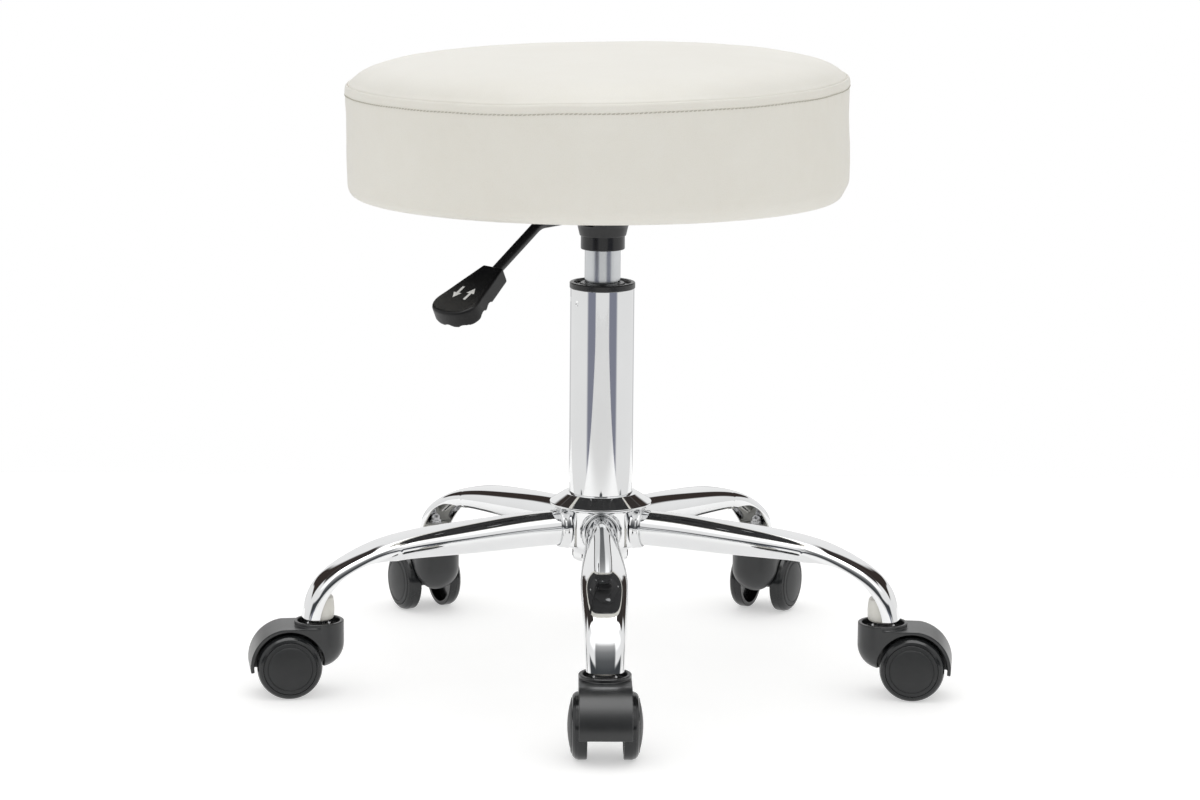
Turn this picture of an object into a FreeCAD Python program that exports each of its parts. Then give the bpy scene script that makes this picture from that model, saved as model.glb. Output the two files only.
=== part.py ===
import FreeCAD, Part
import math
import os

# Round office stool on five twin-wheel casters with a gas-lift column.
# Frame: origin on the floor under the column axis, +Z up, the front leg points
# along -Y.  All sizes in millimetres.  Rest pose: seat at its lowest height,
# every caster trailing straight outwards.

V = FreeCAD.Vector
O = V(0, 0, 0)
Z = V(0, 0, 1)

# ---------------------------------------------------------------- dimensions
LEGS = [("front", -90.0), ("right", -18.0), ("rear_right", 54.0),
        ("rear_left", 126.0), ("left", 198.0)]
# how far each caster stands turned on its stem, away from its leg's line
TURNED = {"front": 0.0, "right": 10.5, "rear_right": 10.0, "rear_left": -10.0, "left": -10.5}

# seat cushion
SEAT_R = 194.5          # outer radius of the cushion
SEAT_Z0 = 381.0         # underside of the cushion
SEAT_Z_SEAM = 468.3     # height of the sewn edge
SEAT_Z_TOP = 490.4      # top of the crown, flat in the middle
# outer face of the crown from the sewn edge to the flat middle, as (radius, height)
SEAT_CROWN = [(193.0, SEAT_Z_SEAM), (187.0, 474.2), (176.0, 480.1), (150.0, 485.2), (120.0, 487.8), (90.0, 489.5),
              (60.0, SEAT_Z_TOP)]
SEAT_EDGE_R = 10.0      # rounding of the lower edge
COVER_T = 1.2           # cover thickness
COVER_WRAP_R = 155.0    # the cover is wrapped under the board to here
BOARD_R = 180.0
BOARD_T = 15.0
DUST_R = 165.0
DUST_T = 0.6
STAPLE_N = 28
STAPLE_R = 160.0

# mounting plate with the flared boss, and the lever
PLATE_HALF = 76.0
PLATE_T = 3.0
PLATE_HOLE = 60.0       # half of the bolt spacing
BOSS_Z0 = 348.2
BOSS_R0 = 18.2
LEVER_DIR = -126.0      # plan direction of the lever, degrees
LEVER_Z = 366.0         # axis height of the lever's inner run
LEVER_R = 4.0
LEVER_PIVOT = 30.0      # distance of the pivot from the column axis
LEVER_BEND_AT = 78.5
LEVER_BEND_R = 25.0
LEVER_SLOPE = 28.5
PADDLE_AT = 58.2        # middle of the paddle's neck along the sloping run, from the end of the bend
PADDLE_SIDE = 1.45      # and beside the rod's axis
PADDLE_TURN = -5.2      # the paddle is turned a little on the rod
PADDLE_L = 61.0
PADDLE_NECK = 18.6
PADDLE_W = 40.6
PADDLE_T = 14.0

# gas lift
COL_R = 25.0
COL_TOP = 307.0
COL_WALL = 2.0
TUBE_R = 14.0
TUBE_Z0 = 112.0
TUBE_Z1 = 356.0
SOCKET_Z0 = 337.5
SOCKET_R = 17.2
TAPER = 0.025           # 1:20 on the diameter
BUSH_Z0 = 235.0
BUSH_FLANGE_R = 25.6
BUSH_TOP = 311.7
ROD_R = 5.0

# base
HUB_R = 31.5
HUB_Z0 = 103.0
HUB_Z1 = 137.0
LEG_WALL = 1.6
SOCKET_END = 36.5       # the hub's leg sockets reach out to here
LEG_END_Z = 60.0

# casters
SWIVEL_R = 229.5
TRAIL = 23.5
WHEEL_R = 25.0
WHEEL_IN = 13.2
WHEEL_OUT = 27.6
HOOD_HALF = 19.5
HOOD_RO = 30.0
HOOD_RI = 27.2
STEM_R = 5.5
AXLE_R = 3.0

os.makedirs("parts", exist_ok=True)
NODES = {}


# ------------------------------------------------------------------- helpers
def wire_rz(items, plane="XZ"):
    """Closed wire from points (a, b) and arcs ('arc', mid, end)."""
    def P(p):
        return V(p[0], 0, p[1]) if plane == "XZ" else V(p[0], p[1], 0)
    edges, cur, first = [], None, None
    for it in items:
        if it[0] == "arc":
            edges.append(Part.Arc(P(cur), P(it[1]), P(it[2])).toShape())
            cur = it[2]
        else:
            if cur is None:
                first = it
            elif abs(it[0] - cur[0]) + abs(it[1] - cur[1]) > 1e-9:
                edges.append(Part.LineSegment(P(cur), P(it)).toShape())
            cur = it
    if abs(cur[0] - first[0]) + abs(cur[1] - first[1]) > 1e-9:
        edges.append(Part.LineSegment(P(cur), P(first)).toShape())
    return Part.Wire(edges)


def revolve(items, axis_pos=O, axis=Z):
    return Part.Face(wire_rz(items)).revolve(axis_pos, axis, 360)


def dome(r0, z0, z1):
    """Arc from (r0, z0) to the axis at (0, z1), part of a sphere centred on the axis."""
    h = z1 - z0
    R = (r0 * r0 + h * h) / (2 * h)
    rm = r0 / 2.0
    return ("arc", (rm, z1 - R + math.sqrt(R * R - rm * rm)), (0, z1))


def cyl(r, z0, z1, x=0.0, y=0.0):
    return Part.makeCylinder(r, z1 - z0, V(x, y, z0))


def box(x0, x1, y0, y1, z0, z1):
    return Part.makeBox(x1 - x0, y1 - y0, z1 - z0, V(x0, y0, z0))


def turned(shape, deg):
    s = shape.copy()
    s.rotate(O, Z, deg)
    return s


def hexagon(af, z0, z1, x=0.0, y=0.0):
    r = af / math.sqrt(3.0)
    pts = [V(x + r * math.cos(math.radians(60 * i)), y + r * math.sin(math.radians(60 * i)), z0)
           for i in range(7)]
    return Part.Face(Part.makePolygon(pts)).extrude(V(0, 0, z1 - z0))


def one(shape):
    """The single solid in a boolean's result."""
    s = shape.removeSplitter() if hasattr(shape, "removeSplitter") else shape
    if len(s.Solids) == 1:
        return s.Solids[0]
    big = max(s.Solids, key=lambda q: q.Volume)
    return big


def put(name, shape):
    NODES[name] = shape


# ---------------------------------------------------------------------- base
# conical collar on the barrel, around the foot of the column
put("hub_collar", revolve([
    (COL_R + 0.05, HUB_Z1 + 0.02), (HUB_R + 0.05, HUB_Z1 + 0.02), (HUB_R + 0.05, 133.4),
    (34.5, 133.4), ("arc", (36.6, 134.0), (38.6, 135.0)), ("arc", (39.6, 135.5), (40.0, 136.3)),
    ("arc", (40.0, 137.0), (39.4, 137.6)), (28.6, 144.6), ("arc", (27.6, 145.1), (26.6, 145.2)),
    (COL_R + 0.05, 145.2)]))

# legs: one formed tube each, drawn from round at the hub to a flattened oval at
# the bend and opened on the inner side of the turned-down end
# station: top point (r, z), bottom point (r, z), width, squareness
LEG_ST = [
    ((25.0, 132.4), (25.0, 104.4), 24.0, 2),
    ((66.0, 131.0), (66.0, 103.2), 25.6, 2),
    ((100.0, 128.4), (100.0, 102.2), 29.8, 2.15),
    ((135.0, 124.9), (134.0, 102.0), 33.8, 2.4),
    ((163.0, 120.7), (159.0, 102.0), 35.6, 2.7),
    ((185.5, 114.7), (177.0, 99.8), 35.2, 3),
    ((205.5, 106.0), (192.5, 90.6), 33.6, 3.2),
    ((222.0, 96.6), (204.0, 81.5), 31.8, 3.3),
    ((233.8, 85.6), (211.0, 76.0), 30.4, 3.3),
    ((239.6, 73.0), (214.0, 69.3), 29.4, 3.2),
    ((242.2, LEG_END_Z), (215.0, LEG_END_Z), 28.4, 3.1),
]


def leg_rows(step, before=0.0, after=0.0):
    """Stations re-spaced evenly along the leg by cubic interpolation, with straight run-outs."""
    rows = [[t[0], t[1], b[0], b[1], w, n] for t, b, w, n in LEG_ST]
    s = [0.0]
    for p, q in zip(rows, rows[1:]):
        s.append(s[-1] + (math.hypot(q[0] - p[0], q[1] - p[1]) + math.hypot(q[2] - p[2], q[3] - p[3])) / 2)
    cnt = len(rows)
    tang = []
    for i in range(cnt):
        a, b = max(i - 1, 0), min(i + 1, cnt - 1)
        tang.append([(rows[b][k] - rows[a][k]) / (s[b] - s[a]) for k in range(6)])
    out = []
    m = int(round(s[-1] / step))
    for j in range(m + 1):
        x = s[-1] * j / m
        i = min(max(k for k in range(cnt) if s[k] <= x + 1e-9), cnt - 2)
        h = s[i + 1] - s[i]
        t = (x - s[i]) / h
        h00, h10 = 2 * t ** 3 - 3 * t ** 2 + 1, t ** 3 - 2 * t ** 2 + t
        h01, h11 = -2 * t ** 3 + 3 * t ** 2, t ** 3 - t ** 2
        out.append([h00 * rows[i][k] + h10 * h * tang[i][k] + h01 * rows[i + 1][k] + h11 * h * tang[i + 1][k]
                    for k in range(6)])
    if before:
        f = out[0]
        out.insert(0, [f[0] - before, f[1], f[2] - before, f[3], f[4], f[5]])
    if after:
        f = out[-1]
        out.append([f[0] + 0.4, f[1] - after, f[2] + 0.1, f[3] - after, f[4], f[5]])
    return out


def leg_solid(shrink, before=0.0, after=0.0):
    """Closed tube body through oval sections, with flat ends."""
    grid = []
    for tr, tz, br, bz, w, n in leg_rows(9.0, before, after):
        cr, cz = (tr + br) / 2, (tz + bz) / 2
        h = math.hypot(tr - br, tz - bz)
        ur, uz = (tr - br) / h, (tz - bz) / h
        a, b = w / 2 - shrink, h / 2 - shrink
        ring = []
        for i in range(36):
            t = -math.pi / 2 + 2 * math.pi * i / 36
            c, q = math.cos(t), math.sin(t)
            y = a * math.copysign(abs(c) ** (2.0 / n), c)
            v = b * math.copysign(abs(q) ** (2.0 / n), q)
            ring.append(V(cr + ur * v, y, cz + uz * v))
        ring.append(ring[0])
        grid.append(ring)
    surf = Part.BSplineSurface()
    surf.interpolate(grid)
    skin = surf.toShape()
    caps = [Part.Face(Part.Wire([ed])) for ed in skin.Edges if ed.isClosed()]
    shell = Part.Shell([skin] + caps)
    shell.sewShape()
    return Part.Solid(shell)


leg_outer = leg_solid(0.0)
leg_void = leg_solid(LEG_WALL, 6.0, 6.0)
# the cut along the inner side of the turned-down end, following the lower edge
open_pts = [(164.0, 101.2), (172.0, 103.0), (180.0, 103.6), (187.0, 103.0), (193.5, 101.8), (199.5, 99.6), (205.3, 97.0), (210.3, 94.0),
            (214.4, 90.8), (218.2, 87.0), (221.4, 83.4), (224.5, 79.6), (227.4, 74.8), (229.6, 69.4), (231.1, 64.4), (231.8, 59.0),
            (232.0, 50.0)]
oc = Part.BSplineCurve()
oc.interpolate(Points=[V(p[0], -40, p[1]) for p in open_pts])
open_edges = [oc.toShape(),
              Part.LineSegment(V(232.0, -40, 50), V(150, -40, 50)).toShape(),
              Part.LineSegment(V(150, -40, 50), V(150, -40, 98.0)).toShape(),
              Part.LineSegment(V(150, -40, 98.0), V(164.0, -40, 101.2)).toShape()]
open_cut = Part.Face(Part.Wire(open_edges)).extrude(V(0, 80, 0))
leg = leg_outer.cut(leg_void).cut(open_cut).cut(cyl(HUB_R + 0.02, 90, 150))
leg = one(leg)
for nm, ang in LEGS:
    put("leg_" + nm, turned(leg, ang))

# hub barrel with the tapered bore for the column, and a short socket around each leg
hub = revolve([
    (COL_R - 0.83, HUB_Z0), (HUB_R - 2.0, HUB_Z0), (HUB_R - 0.6, HUB_Z0 + 0.6),
    (HUB_R, HUB_Z0 + 2.0), (HUB_R, HUB_Z1), (COL_R + 0.02, HUB_Z1)])
sleeve = leg_solid(-1.0).common(box(29.0, SOCKET_END, -30, 30, 90, 150)).cut(cyl(28.0, 80, 160))
bore = leg_solid(-0.06).cut(cyl(HUB_R, 80, 160))
sleeve = one(sleeve)
for nm, ang in LEGS:
    hub = hub.fuse(turned(sleeve, ang))
for nm, ang in LEGS:
    hub = hub.cut(turned(bore, ang))
put("base_hub", one(hub))

# moulded plug pressed into each leg end, which the caster stem is riveted through
PLUG_Z = (58.6, 77.0)
plug_void = leg_solid(LEG_WALL + 0.08, 6.0, 6.0)
plug = revolve([
    (4.63, PLUG_Z[0]), (10.6, PLUG_Z[0]), (11.7, PLUG_Z[0] + 1.2), (12.2, 63.0), (12.3, 67.0), (12.0, 72.0),
    (11.4, PLUG_Z[1] - 1.4), (10.2, PLUG_Z[1]), (4.63, PLUG_Z[1])])
plug.translate(V(SWIVEL_R, 0, 0))
plug = one(plug.common(plug_void))
put("stem_inserts", Part.makeCompound([turned(plug, a) for _, a in LEGS]))

stem_prof = [(0, 37.0), (4.3, 37.0), (STEM_R, 38.2), (STEM_R, 52.3), (9.0, 52.3), (9.0, 55.0),
             (7.5, 55.6), (7.5, PLUG_Z[0] - 0.02), (4.6, PLUG_Z[0] - 0.02), (4.6, PLUG_Z[1] + 0.02),
             (5.6, PLUG_Z[1] + 0.02), (5.6, 78.3), (4.7, 78.4), (4.7, 79.8), (3.7, 80.4), (3.6, 82.4), dome(3.6, 82.4, 85.2)]
stem = revolve(stem_prof)
stem.translate(V(SWIVEL_R, 0, 0))
put("caster_stems", Part.makeCompound([turned(stem, a) for _, a in LEGS]))

# outer column tube: straight, tapered in the hub, rolled in at the foot
col = revolve([
    (COL_R, COL_TOP), (COL_R, HUB_Z1), (COL_R - 0.85, HUB_Z0), (COL_R - 0.95, 101.5), (22.9, 99.6), (22.5, 97.6),
    (22.4, 94.2), ("arc", (21.6, 91.9), (19.6, 91.0)), (19.0, 91.0), (19.0, 92.98), (20.45, 92.98),
    (20.45, 98.4), (22.0, 103.2), (COL_R - COL_WALL, HUB_Z1), (COL_R - COL_WALL, COL_TOP)])
# crimp dimples that hold the guide bush
dents = []
for base_ang in (-143.0, 37.0):
    for k, dz in ((0, 10.6), (-29, 8.6)):
        a = math.radians(base_ang + k)
        s = Part.makeSphere(2.6, V((COL_R + 1.75) * math.cos(a), (COL_R + 1.75) * math.sin(a), COL_TOP - dz))
        dents.append(s)
for s in dents:
    col = col.cut(s)
put("column_tube", one(col))

# plastic guide bush: flange on the rim, sleeve inside the column
put("guide_bush", revolve([
    (TUBE_R + 0.06, BUSH_Z0), (COL_R - COL_WALL - 0.04, BUSH_Z0), (COL_R - COL_WALL - 0.04, COL_TOP + 0.02),
    (BUSH_FLANGE_R - 0.5, COL_TOP + 0.02), (BUSH_FLANGE_R, COL_TOP + 0.6), (BUSH_FLANGE_R, BUSH_TOP - 0.9),
    ("arc", (BUSH_FLANGE_R - 0.3, BUSH_TOP - 0.25), (BUSH_FLANGE_R - 1.0, BUSH_TOP)), (22.6, BUSH_TOP),
    (22.2, BUSH_TOP - 0.4), (21.9, BUSH_TOP - 1.9), (17.4, BUSH_TOP - 1.9), (17.1, BUSH_TOP - 0.7),
    (16.4, BUSH_TOP - 0.4), (TUBE_R + 0.6, BUSH_TOP - 0.4), (TUBE_R + 0.06, BUSH_TOP - 1.0)]))

put("column_bottom_plate", revolve([(ROD_R + 0.4, 93.0), (20.4, 93.0), (20.4, 96.0), (ROD_R + 0.4, 96.0)]))
put("bearing_lower_washer", revolve([(ROD_R + 0.4, 96.02), (13.0, 96.02), (13.0, 97.5), (ROD_R + 0.4, 97.5)]))

# ---------------------------------------------------------------- swivel rod
put("piston_rod", revolve([
    (0, 89.4), (4.2, 89.4), (ROD_R, 90.2), (ROD_R, 91.2), (4.2, 91.2), (4.2, 92.7), (ROD_R, 92.7),
    (ROD_R, 270.0), (4.0, 270.0), (4.0, 287.0), (3.4, 287.8), (0, 287.8)]))
put("gas_piston", revolve([(4.03, 270.02), (12.42, 270.02), (12.42, 275.0), (11.4, 275.0), (11.4, 278.5),
                           (12.42, 278.5), (12.42, 285.0), (4.03, 285.0)]))
balls = []
cage = revolve([(7.2, 98.7), (11.8, 98.7), (11.8, 100.5), (7.2, 100.5)])
for i in range(10):
    a = math.radians(36 * i)
    c = V(9.5 * math.cos(a), 9.5 * math.sin(a), 99.65)
    cage = cage.cut(Part.makeSphere(2.0, c))
    balls.append(Part.makeSphere(1.83, c))
put("thrust_bearing", Part.makeCompound([one(cage)] + balls))
put("bearing_upper_washer", revolve([(ROD_R + 0.03, 101.5), (13.0, 101.5), (13.0, 103.0), (ROD_R + 0.03, 103.0)]))
put("rod_bumper", revolve([(ROD_R + 0.03, 103.02), (11.0, 103.02), (12.2, 104.6), (12.2, 108.6), (10.6, 110.6),
                           (ROD_R + 0.03, 110.6)]))
clip = revolve([(4.25, 91.35), (8.0, 91.35), (8.0, 92.6), (4.25, 92.6)]).cut(box(0, 10, -2.6, 2.6, 90, 94))
put("rod_clip", one(clip))

# ---------------------------------------------------------------------- seat
r_top = TUBE_R - (TUBE_Z1 - SOCKET_Z0) * TAPER
put("gas_cylinder", revolve([
    (12.5, TUBE_Z0), (13.5, TUBE_Z0), (TUBE_R, TUBE_Z0 + 0.6), (TUBE_R, SOCKET_Z0), (r_top, TUBE_Z1),
    (12.6, TUBE_Z1 + 2.0), (3.06, TUBE_Z1 + 2.0), (3.06, 338.0), (12.5, 336.0)]))
put("cylinder_gland", revolve([(ROD_R + 0.06, TUBE_Z0 + 0.6), (12.46, TUBE_Z0 + 0.6), (12.46, 134.0), (ROD_R + 0.06, 134.0)]))

put("taper_socket", revolve([
    (TUBE_R + 0.03, SOCKET_Z0), (SOCKET_R - 0.7, SOCKET_Z0), (SOCKET_R, SOCKET_Z0 + 0.7), (SOCKET_R, TUBE_Z1),
    (r_top + 0.03, TUBE_Z1)]))

PLATE_Z1 = SEAT_Z0 - DUST_T          # top of the plate
PLATE_Z0 = PLATE_Z1 - PLATE_T
# plate, built with its lever side along +X and then turned
pl = box(-PLATE_HALF, PLATE_HALF, -PLATE_HALF, PLATE_HALF, PLATE_Z0, PLATE_Z1)
pl = pl.makeFillet(14.0, [e for e in pl.Edges if abs(e.Vertexes[0].Z - e.Vertexes[1].Z) > 1])
boss = revolve([
    (SOCKET_R + 0.04, BOSS_Z0), (BOSS_R0 - 0.3, BOSS_Z0), (BOSS_R0, BOSS_Z0 + 0.5), (19.8, 355.6), (21.6, 360.0),
    (29.0, PLATE_Z0 - 1.0), (31.5, PLATE_Z0 + 0.5), (26.6, PLATE_Z0 + 0.5), (19.2, 360.6), (SOCKET_R + 0.04, 352.0)])
ears = box(23.0, 37.0, 5.0, 8.0, 360.5, PLATE_Z0 + 0.5).fuse(box(23.0, 37.0, -8.0, -5.0, 360.5, PLATE_Z0 + 0.5))
ears = ears.cut(cyl(19.4, 350, 400))
pl = pl.fuse(boss).fuse(ears)
pl = pl.cut(box(8.0, 37.5, -4.99, 4.99, 357.0, PLATE_Z0 - 0.02))
pivot_hole = Part.makeCylinder(2.53, 24, V(LEVER_PIVOT, -12, LEVER_Z), V(0, 1, 0))
pl = pl.cut(pivot_hole)
bolt_xy = [(sx * PLATE_HOLE, sy * PLATE_HOLE) for sx in (-1, 1) for sy in (-1, 1)]
for x, y in bolt_xy:
    pl = pl.cut(cyl(3.4, 370, 390, x, y))
# pressed stiffening beads, shallow grooves in the underside of the plate
for x0, x1, y in ((-62, -38, 0.0), (-50, 50, 52.0), (-50, 50, -52.0)):
    g = Part.makeCylinder(3.0, x1 - x0, V(x0, y, PLATE_Z0 - 1.8), V(1, 0, 0))
    pl = pl.cut(g)
put("mount_plate", turned(one(pl), LEVER_DIR))
pin = Part.makeCylinder(2.5, 19, V(LEVER_PIVOT, -9.5, LEVER_Z), V(0, 1, 0))
put("lever_pivot_pin", turned(pin, LEVER_DIR))

bolts, tnuts = [], []
for x, y in bolt_xy:
    b = hexagon(10.0, PLATE_Z0 - 4.0, PLATE_Z0 - 0.6, x, y).fuse(cyl(6.6, PLATE_Z0 - 1.2, PLATE_Z0 - 0.02, x, y))
    b = b.fuse(cyl(3.0, PLATE_Z0 - 0.5, 399.6, x, y))
    bolts.append(turned(one(b), LEVER_DIR))
    t = cyl(4.4, 387.0, 397.22, x, y).fuse(cyl(9.0, 397.22, 398.5, x, y)).cut(cyl(3.05, 380, 402, x, y))
    tnuts.append(turned(one(t), LEVER_DIR))
put("plate_bolts", Part.makeCompound(bolts))
put("t_nuts", Part.makeCompound(tnuts))

BOARD_Z1 = SEAT_Z0 + COVER_T + BOARD_T
board = revolve([(0, SEAT_Z0 + 0.02), (COVER_WRAP_R - 1.0, SEAT_Z0 + 0.02), (COVER_WRAP_R - 1.0, SEAT_Z0 + COVER_T + 0.02),
                 (BOARD_R, SEAT_Z0 + COVER_T + 0.02), (BOARD_R, BOARD_Z1), (0, BOARD_Z1)])
for x, y in bolt_xy:
    h = cyl(4.45, 370, 410, x, y)
    board = board.cut(turned(h, LEVER_DIR))
put("seat_board", one(board))


def crown(off):
    """Crown profile set in by off along its normals: first point, then three arcs to the flat middle."""
    out = []
    last = len(SEAT_CROWN) - 1
    for i, (r, z) in enumerate(SEAT_CROWN):
        a, b = SEAT_CROWN[max(i - 1, 0)], SEAT_CROWN[min(i + 1, last)]
        tr, tz = b[0] - a[0], b[1] - a[1]
        h = math.hypot(tr, tz)
        nr, nz = (tz / h, -tr / h) if i < last else (0.0, 1.0)
        out.append((r - off * nr, z - off * nz))
    return out


e = SEAT_EDGE_R
k = e * (1 - math.sqrt(0.5))
ki = (e - COVER_T) * (1 - math.sqrt(0.5))
ri = SEAT_R - COVER_T
co, ci = crown(0.0), crown(COVER_T)
cover = revolve([
    (COVER_WRAP_R, SEAT_Z0), (SEAT_R - e, SEAT_Z0), ("arc", (SEAT_R - k, SEAT_Z0 + k), (SEAT_R, SEAT_Z0 + e)),
    (SEAT_R, SEAT_Z_SEAM - 3.0), co[0], ("arc", co[1], co[2]), ("arc", co[3], co[4]), ("arc", co[5], co[6]),
    (0, SEAT_Z_TOP), (0, SEAT_Z_TOP - COVER_T), ci[6], ("arc", ci[5], ci[4]), ("arc", ci[3], ci[2]), ("arc", ci[1], ci[0]),
    (ri, SEAT_Z_SEAM - 3.6), (ri, SEAT_Z0 + e), ("arc", (ri - ki, SEAT_Z0 + COVER_T + ki), (SEAT_R - e, SEAT_Z0 + COVER_T)),
    (COVER_WRAP_R, SEAT_Z0 + COVER_T)])
put("seat_cover", cover)
g = 0.05
cf = crown(COVER_T + 0.12)
foam = revolve([
    (0, BOARD_Z1 + 0.02), (BOARD_R + 0.1, BOARD_Z1 + 0.02), (BOARD_R + 0.1, SEAT_Z0 + COVER_T + 0.1), (SEAT_R - e, SEAT_Z0 + COVER_T + 0.1),
    ("arc", (ri - ki - g, SEAT_Z0 + COVER_T + ki + g), (ri - g, SEAT_Z0 + e)), (ri - g, SEAT_Z_SEAM - 3.8),
    cf[0], ("arc", cf[1], cf[2]), ("arc", cf[3], cf[4]), ("arc", cf[5], cf[6]), (0, cf[6][1])])
for x, y in bolt_xy:
    foam = foam.cut(turned(cyl(9.3, 397.0, 400.2, x, y), LEVER_DIR))
put("foam_pad", one(foam))

dust = revolve([(0, PLATE_Z1 + 0.02), (DUST_R, PLATE_Z1 + 0.02), (DUST_R, SEAT_Z0 - 0.02), (0, SEAT_Z0 - 0.02)])
for x, y in bolt_xy:
    dust = dust.cut(turned(cyl(3.4, 370, 390, x, y), LEVER_DIR))
put("dust_cover", one(dust))

staples = []
for i in range(STAPLE_N):
    a = 360.0 * i / STAPLE_N + 3.0
    s = box(STAPLE_R - 0.5, STAPLE_R + 0.5, -5.0, 5.0, PLATE_Z1 - 0.75, PLATE_Z1 + 0.0)
    s = s.fuse(box(STAPLE_R - 0.5, STAPLE_R + 0.5, -5.0, -4.2, PLATE_Z1 - 0.75, PLATE_Z1 + 8.0))
    s = s.fuse(box(STAPLE_R - 0.5, STAPLE_R + 0.5, 4.2, 5.0, PLATE_Z1 - 0.75, PLATE_Z1 + 8.0))
    staples.append(turned(one(s), a))
put("staples", Part.makeCompound(staples))

# --------------------------------------------------------------------- lever
sl = math.radians(LEVER_SLOPE)
p0 = V(-3.0, 0, LEVER_Z)
p1 = V(LEVER_BEND_AT, 0, LEVER_Z)
pm = V(LEVER_BEND_AT + LEVER_BEND_R * math.sin(sl / 2), 0, LEVER_Z - LEVER_BEND_R * (1 - math.cos(sl / 2)))
p2 = V(LEVER_BEND_AT + LEVER_BEND_R * math.sin(sl), 0, LEVER_Z - LEVER_BEND_R * (1 - math.cos(sl)))
u1 = V(math.cos(sl), 0, -math.sin(sl))
u3 = V(math.sin(sl), 0, math.cos(sl))
RUN_IN = 32.0                      # length of the rod inside the paddle
p3 = p2 + u1 * (PADDLE_AT + RUN_IN)
seg1 = Part.makeCylinder(LEVER_R, p1.x - p0.x, p0, V(1, 0, 0))
prof = Part.Face(Part.Wire(Part.makeCircle(LEVER_R, p1, V(1, 0, 0))))
seg2 = prof.revolve(V(p1.x, 0, LEVER_Z - LEVER_BEND_R), V(0, 1, 0), LEVER_SLOPE)
seg3 = Part.makeCylinder(LEVER_R, PADDLE_AT + RUN_IN, p2, u1)
rod = seg1.fuse(seg2).fuse(seg3).fuse(Part.makeSphere(LEVER_R, p0))
rod = rod.cut(Part.makeCylinder(2.55, 24, V(LEVER_PIVOT, -12, LEVER_Z), V(0, 1, 0)))
put("lever_rod", turned(one(rod), LEVER_DIR))

# paddle, in its own frame: x from the neck to the end, y across, z normal
hw, hn = PADDLE_W / 2, PADDLE_NECK / 2
L = PADDLE_L
flare = (hw - hn) / (L - 13.0)
right = [(0.0, hn), (12.0, hn + 12.0 * flare), (26.0, hn + 26.0 * flare), (38.0, hn + 38.0 * flare - 0.1), (L - 12.6, hw - 0.7),
         (L - 7.0, hw - 2.6), (L - 2.9, hw - 6.6), (L - 0.9, hw - 12.0), (L, 0.0)]
pts = [V(x, y, 0) for x, y in right] + [V(x, -y, 0) for x, y in reversed(right[:-1])]
pc = Part.BSplineCurve()
pc.interpolate(Points=pts)
pw = Part.Wire([pc.toShape(), Part.LineSegment(pts[-1], pts[0]).toShape()])
pad = Part.Face(pw).extrude(V(0, 0, PADDLE_T))
pad.translate(V(0, 0, -PADDLE_T / 2))
pad = pad.makeFillet(2.4, [ed for ed in pad.Edges if abs(ed.BoundBox.ZMin - ed.BoundBox.ZMax) < 1e-6])
# finger scallops in the underside, across the sides and along the end
for x in (30.0, 40.5):
    pad = pad.cut(Part.makeCylinder(6.0, 60, V(x, -30, -PADDLE_T / 2 - 3.0), V(0, 1, 0)))
for y in (-13.0, 0.0, 13.0):
    pad = pad.cut(Part.makeCylinder(6.0, 30, V(47.5, y, -PADDLE_T / 2 - 3.7), V(1, 0, 0)))
pad.rotate(O, Z, PADDLE_TURN)
pad.translate(V(0, PADDLE_SIDE, 0))
pad = pad.cut(Part.makeCylinder(LEVER_R + 0.03, RUN_IN + 6.0, V(-5, 0, 0), V(1, 0, 0)))
pad = one(pad)
m = FreeCAD.Matrix(u1.x, 0, u3.x, 0, 0, 1, 0, 0, u1.z, 0, u3.z, 0, 0, 0, 0, 1)
pad.transformShape(m)
pad.translate(p2 + u1 * PADDLE_AT)
put("lever_paddle", turned(pad, LEVER_DIR))

# valve pin of the gas lift, under the lever's inner end
put("release_pin", revolve([(0, 345.0), (2.4, 345.0), (3.0, 345.6), (3.0, 360.6), dome(3.0, 360.6, 361.68)]))

# ------------------------------------------------------------------- casters
ax, az = TRAIL, 25.0


def on_circle(r, deg):
    a = math.radians(deg)
    return (ax + r * math.cos(a), az + r * math.sin(a))


lip = -8.0
z_top = 57.5
z_bowl = 40.2
xi = ax - math.sqrt(HOOD_RI ** 2 - (20.0 - az) ** 2)
side = [
    on_circle(HOOD_RI, lip), on_circle(HOOD_RO, lip), ("arc", on_circle(HOOD_RO, 45), on_circle(HOOD_RO, 100)),
    (19.0, z_top), (-19.5, z_top), (-19.5, 20.0), (xi, 20.0),
    ("arc", on_circle(HOOD_RI, 90), on_circle(HOOD_RI, lip))]
shell = Part.Face(wire_rz(side)).extrude(V(0, 2 * HOOD_HALF, 0))
shell.translate(V(0, -HOOD_HALF, 0))
# the stem housing is round about the stem and ends below in a bowl
plan = Part.makeSphere(HOOD_HALF, V(0, 0, z_bowl)).fuse(cyl(HOOD_HALF, z_bowl, 80))
plan = plan.fuse(box(0, 80, -HOOD_HALF, HOOD_HALF, z_bowl, 80)).fuse(box(20, 80, -HOOD_HALF, HOOD_HALF, 0, z_bowl + 1))
shell = shell.common(plan)
# the collar stands as a ring above the mudguard
shell = shell.cut(box(0, 60, -30, 30, 54.6, 70).cut(cyl(19.0, 50, 75)))
# hollow inside of the stem housing, open towards the wheels
shell = shell.cut(Part.makeSphere(16.6, V(0, 0, z_bowl)).fuse(cyl(16.6, z_bowl, 70)).common(box(-20, 20, -20, 20, 10, 49.6)).cut(cyl(9.6, 30, 60)))
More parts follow.
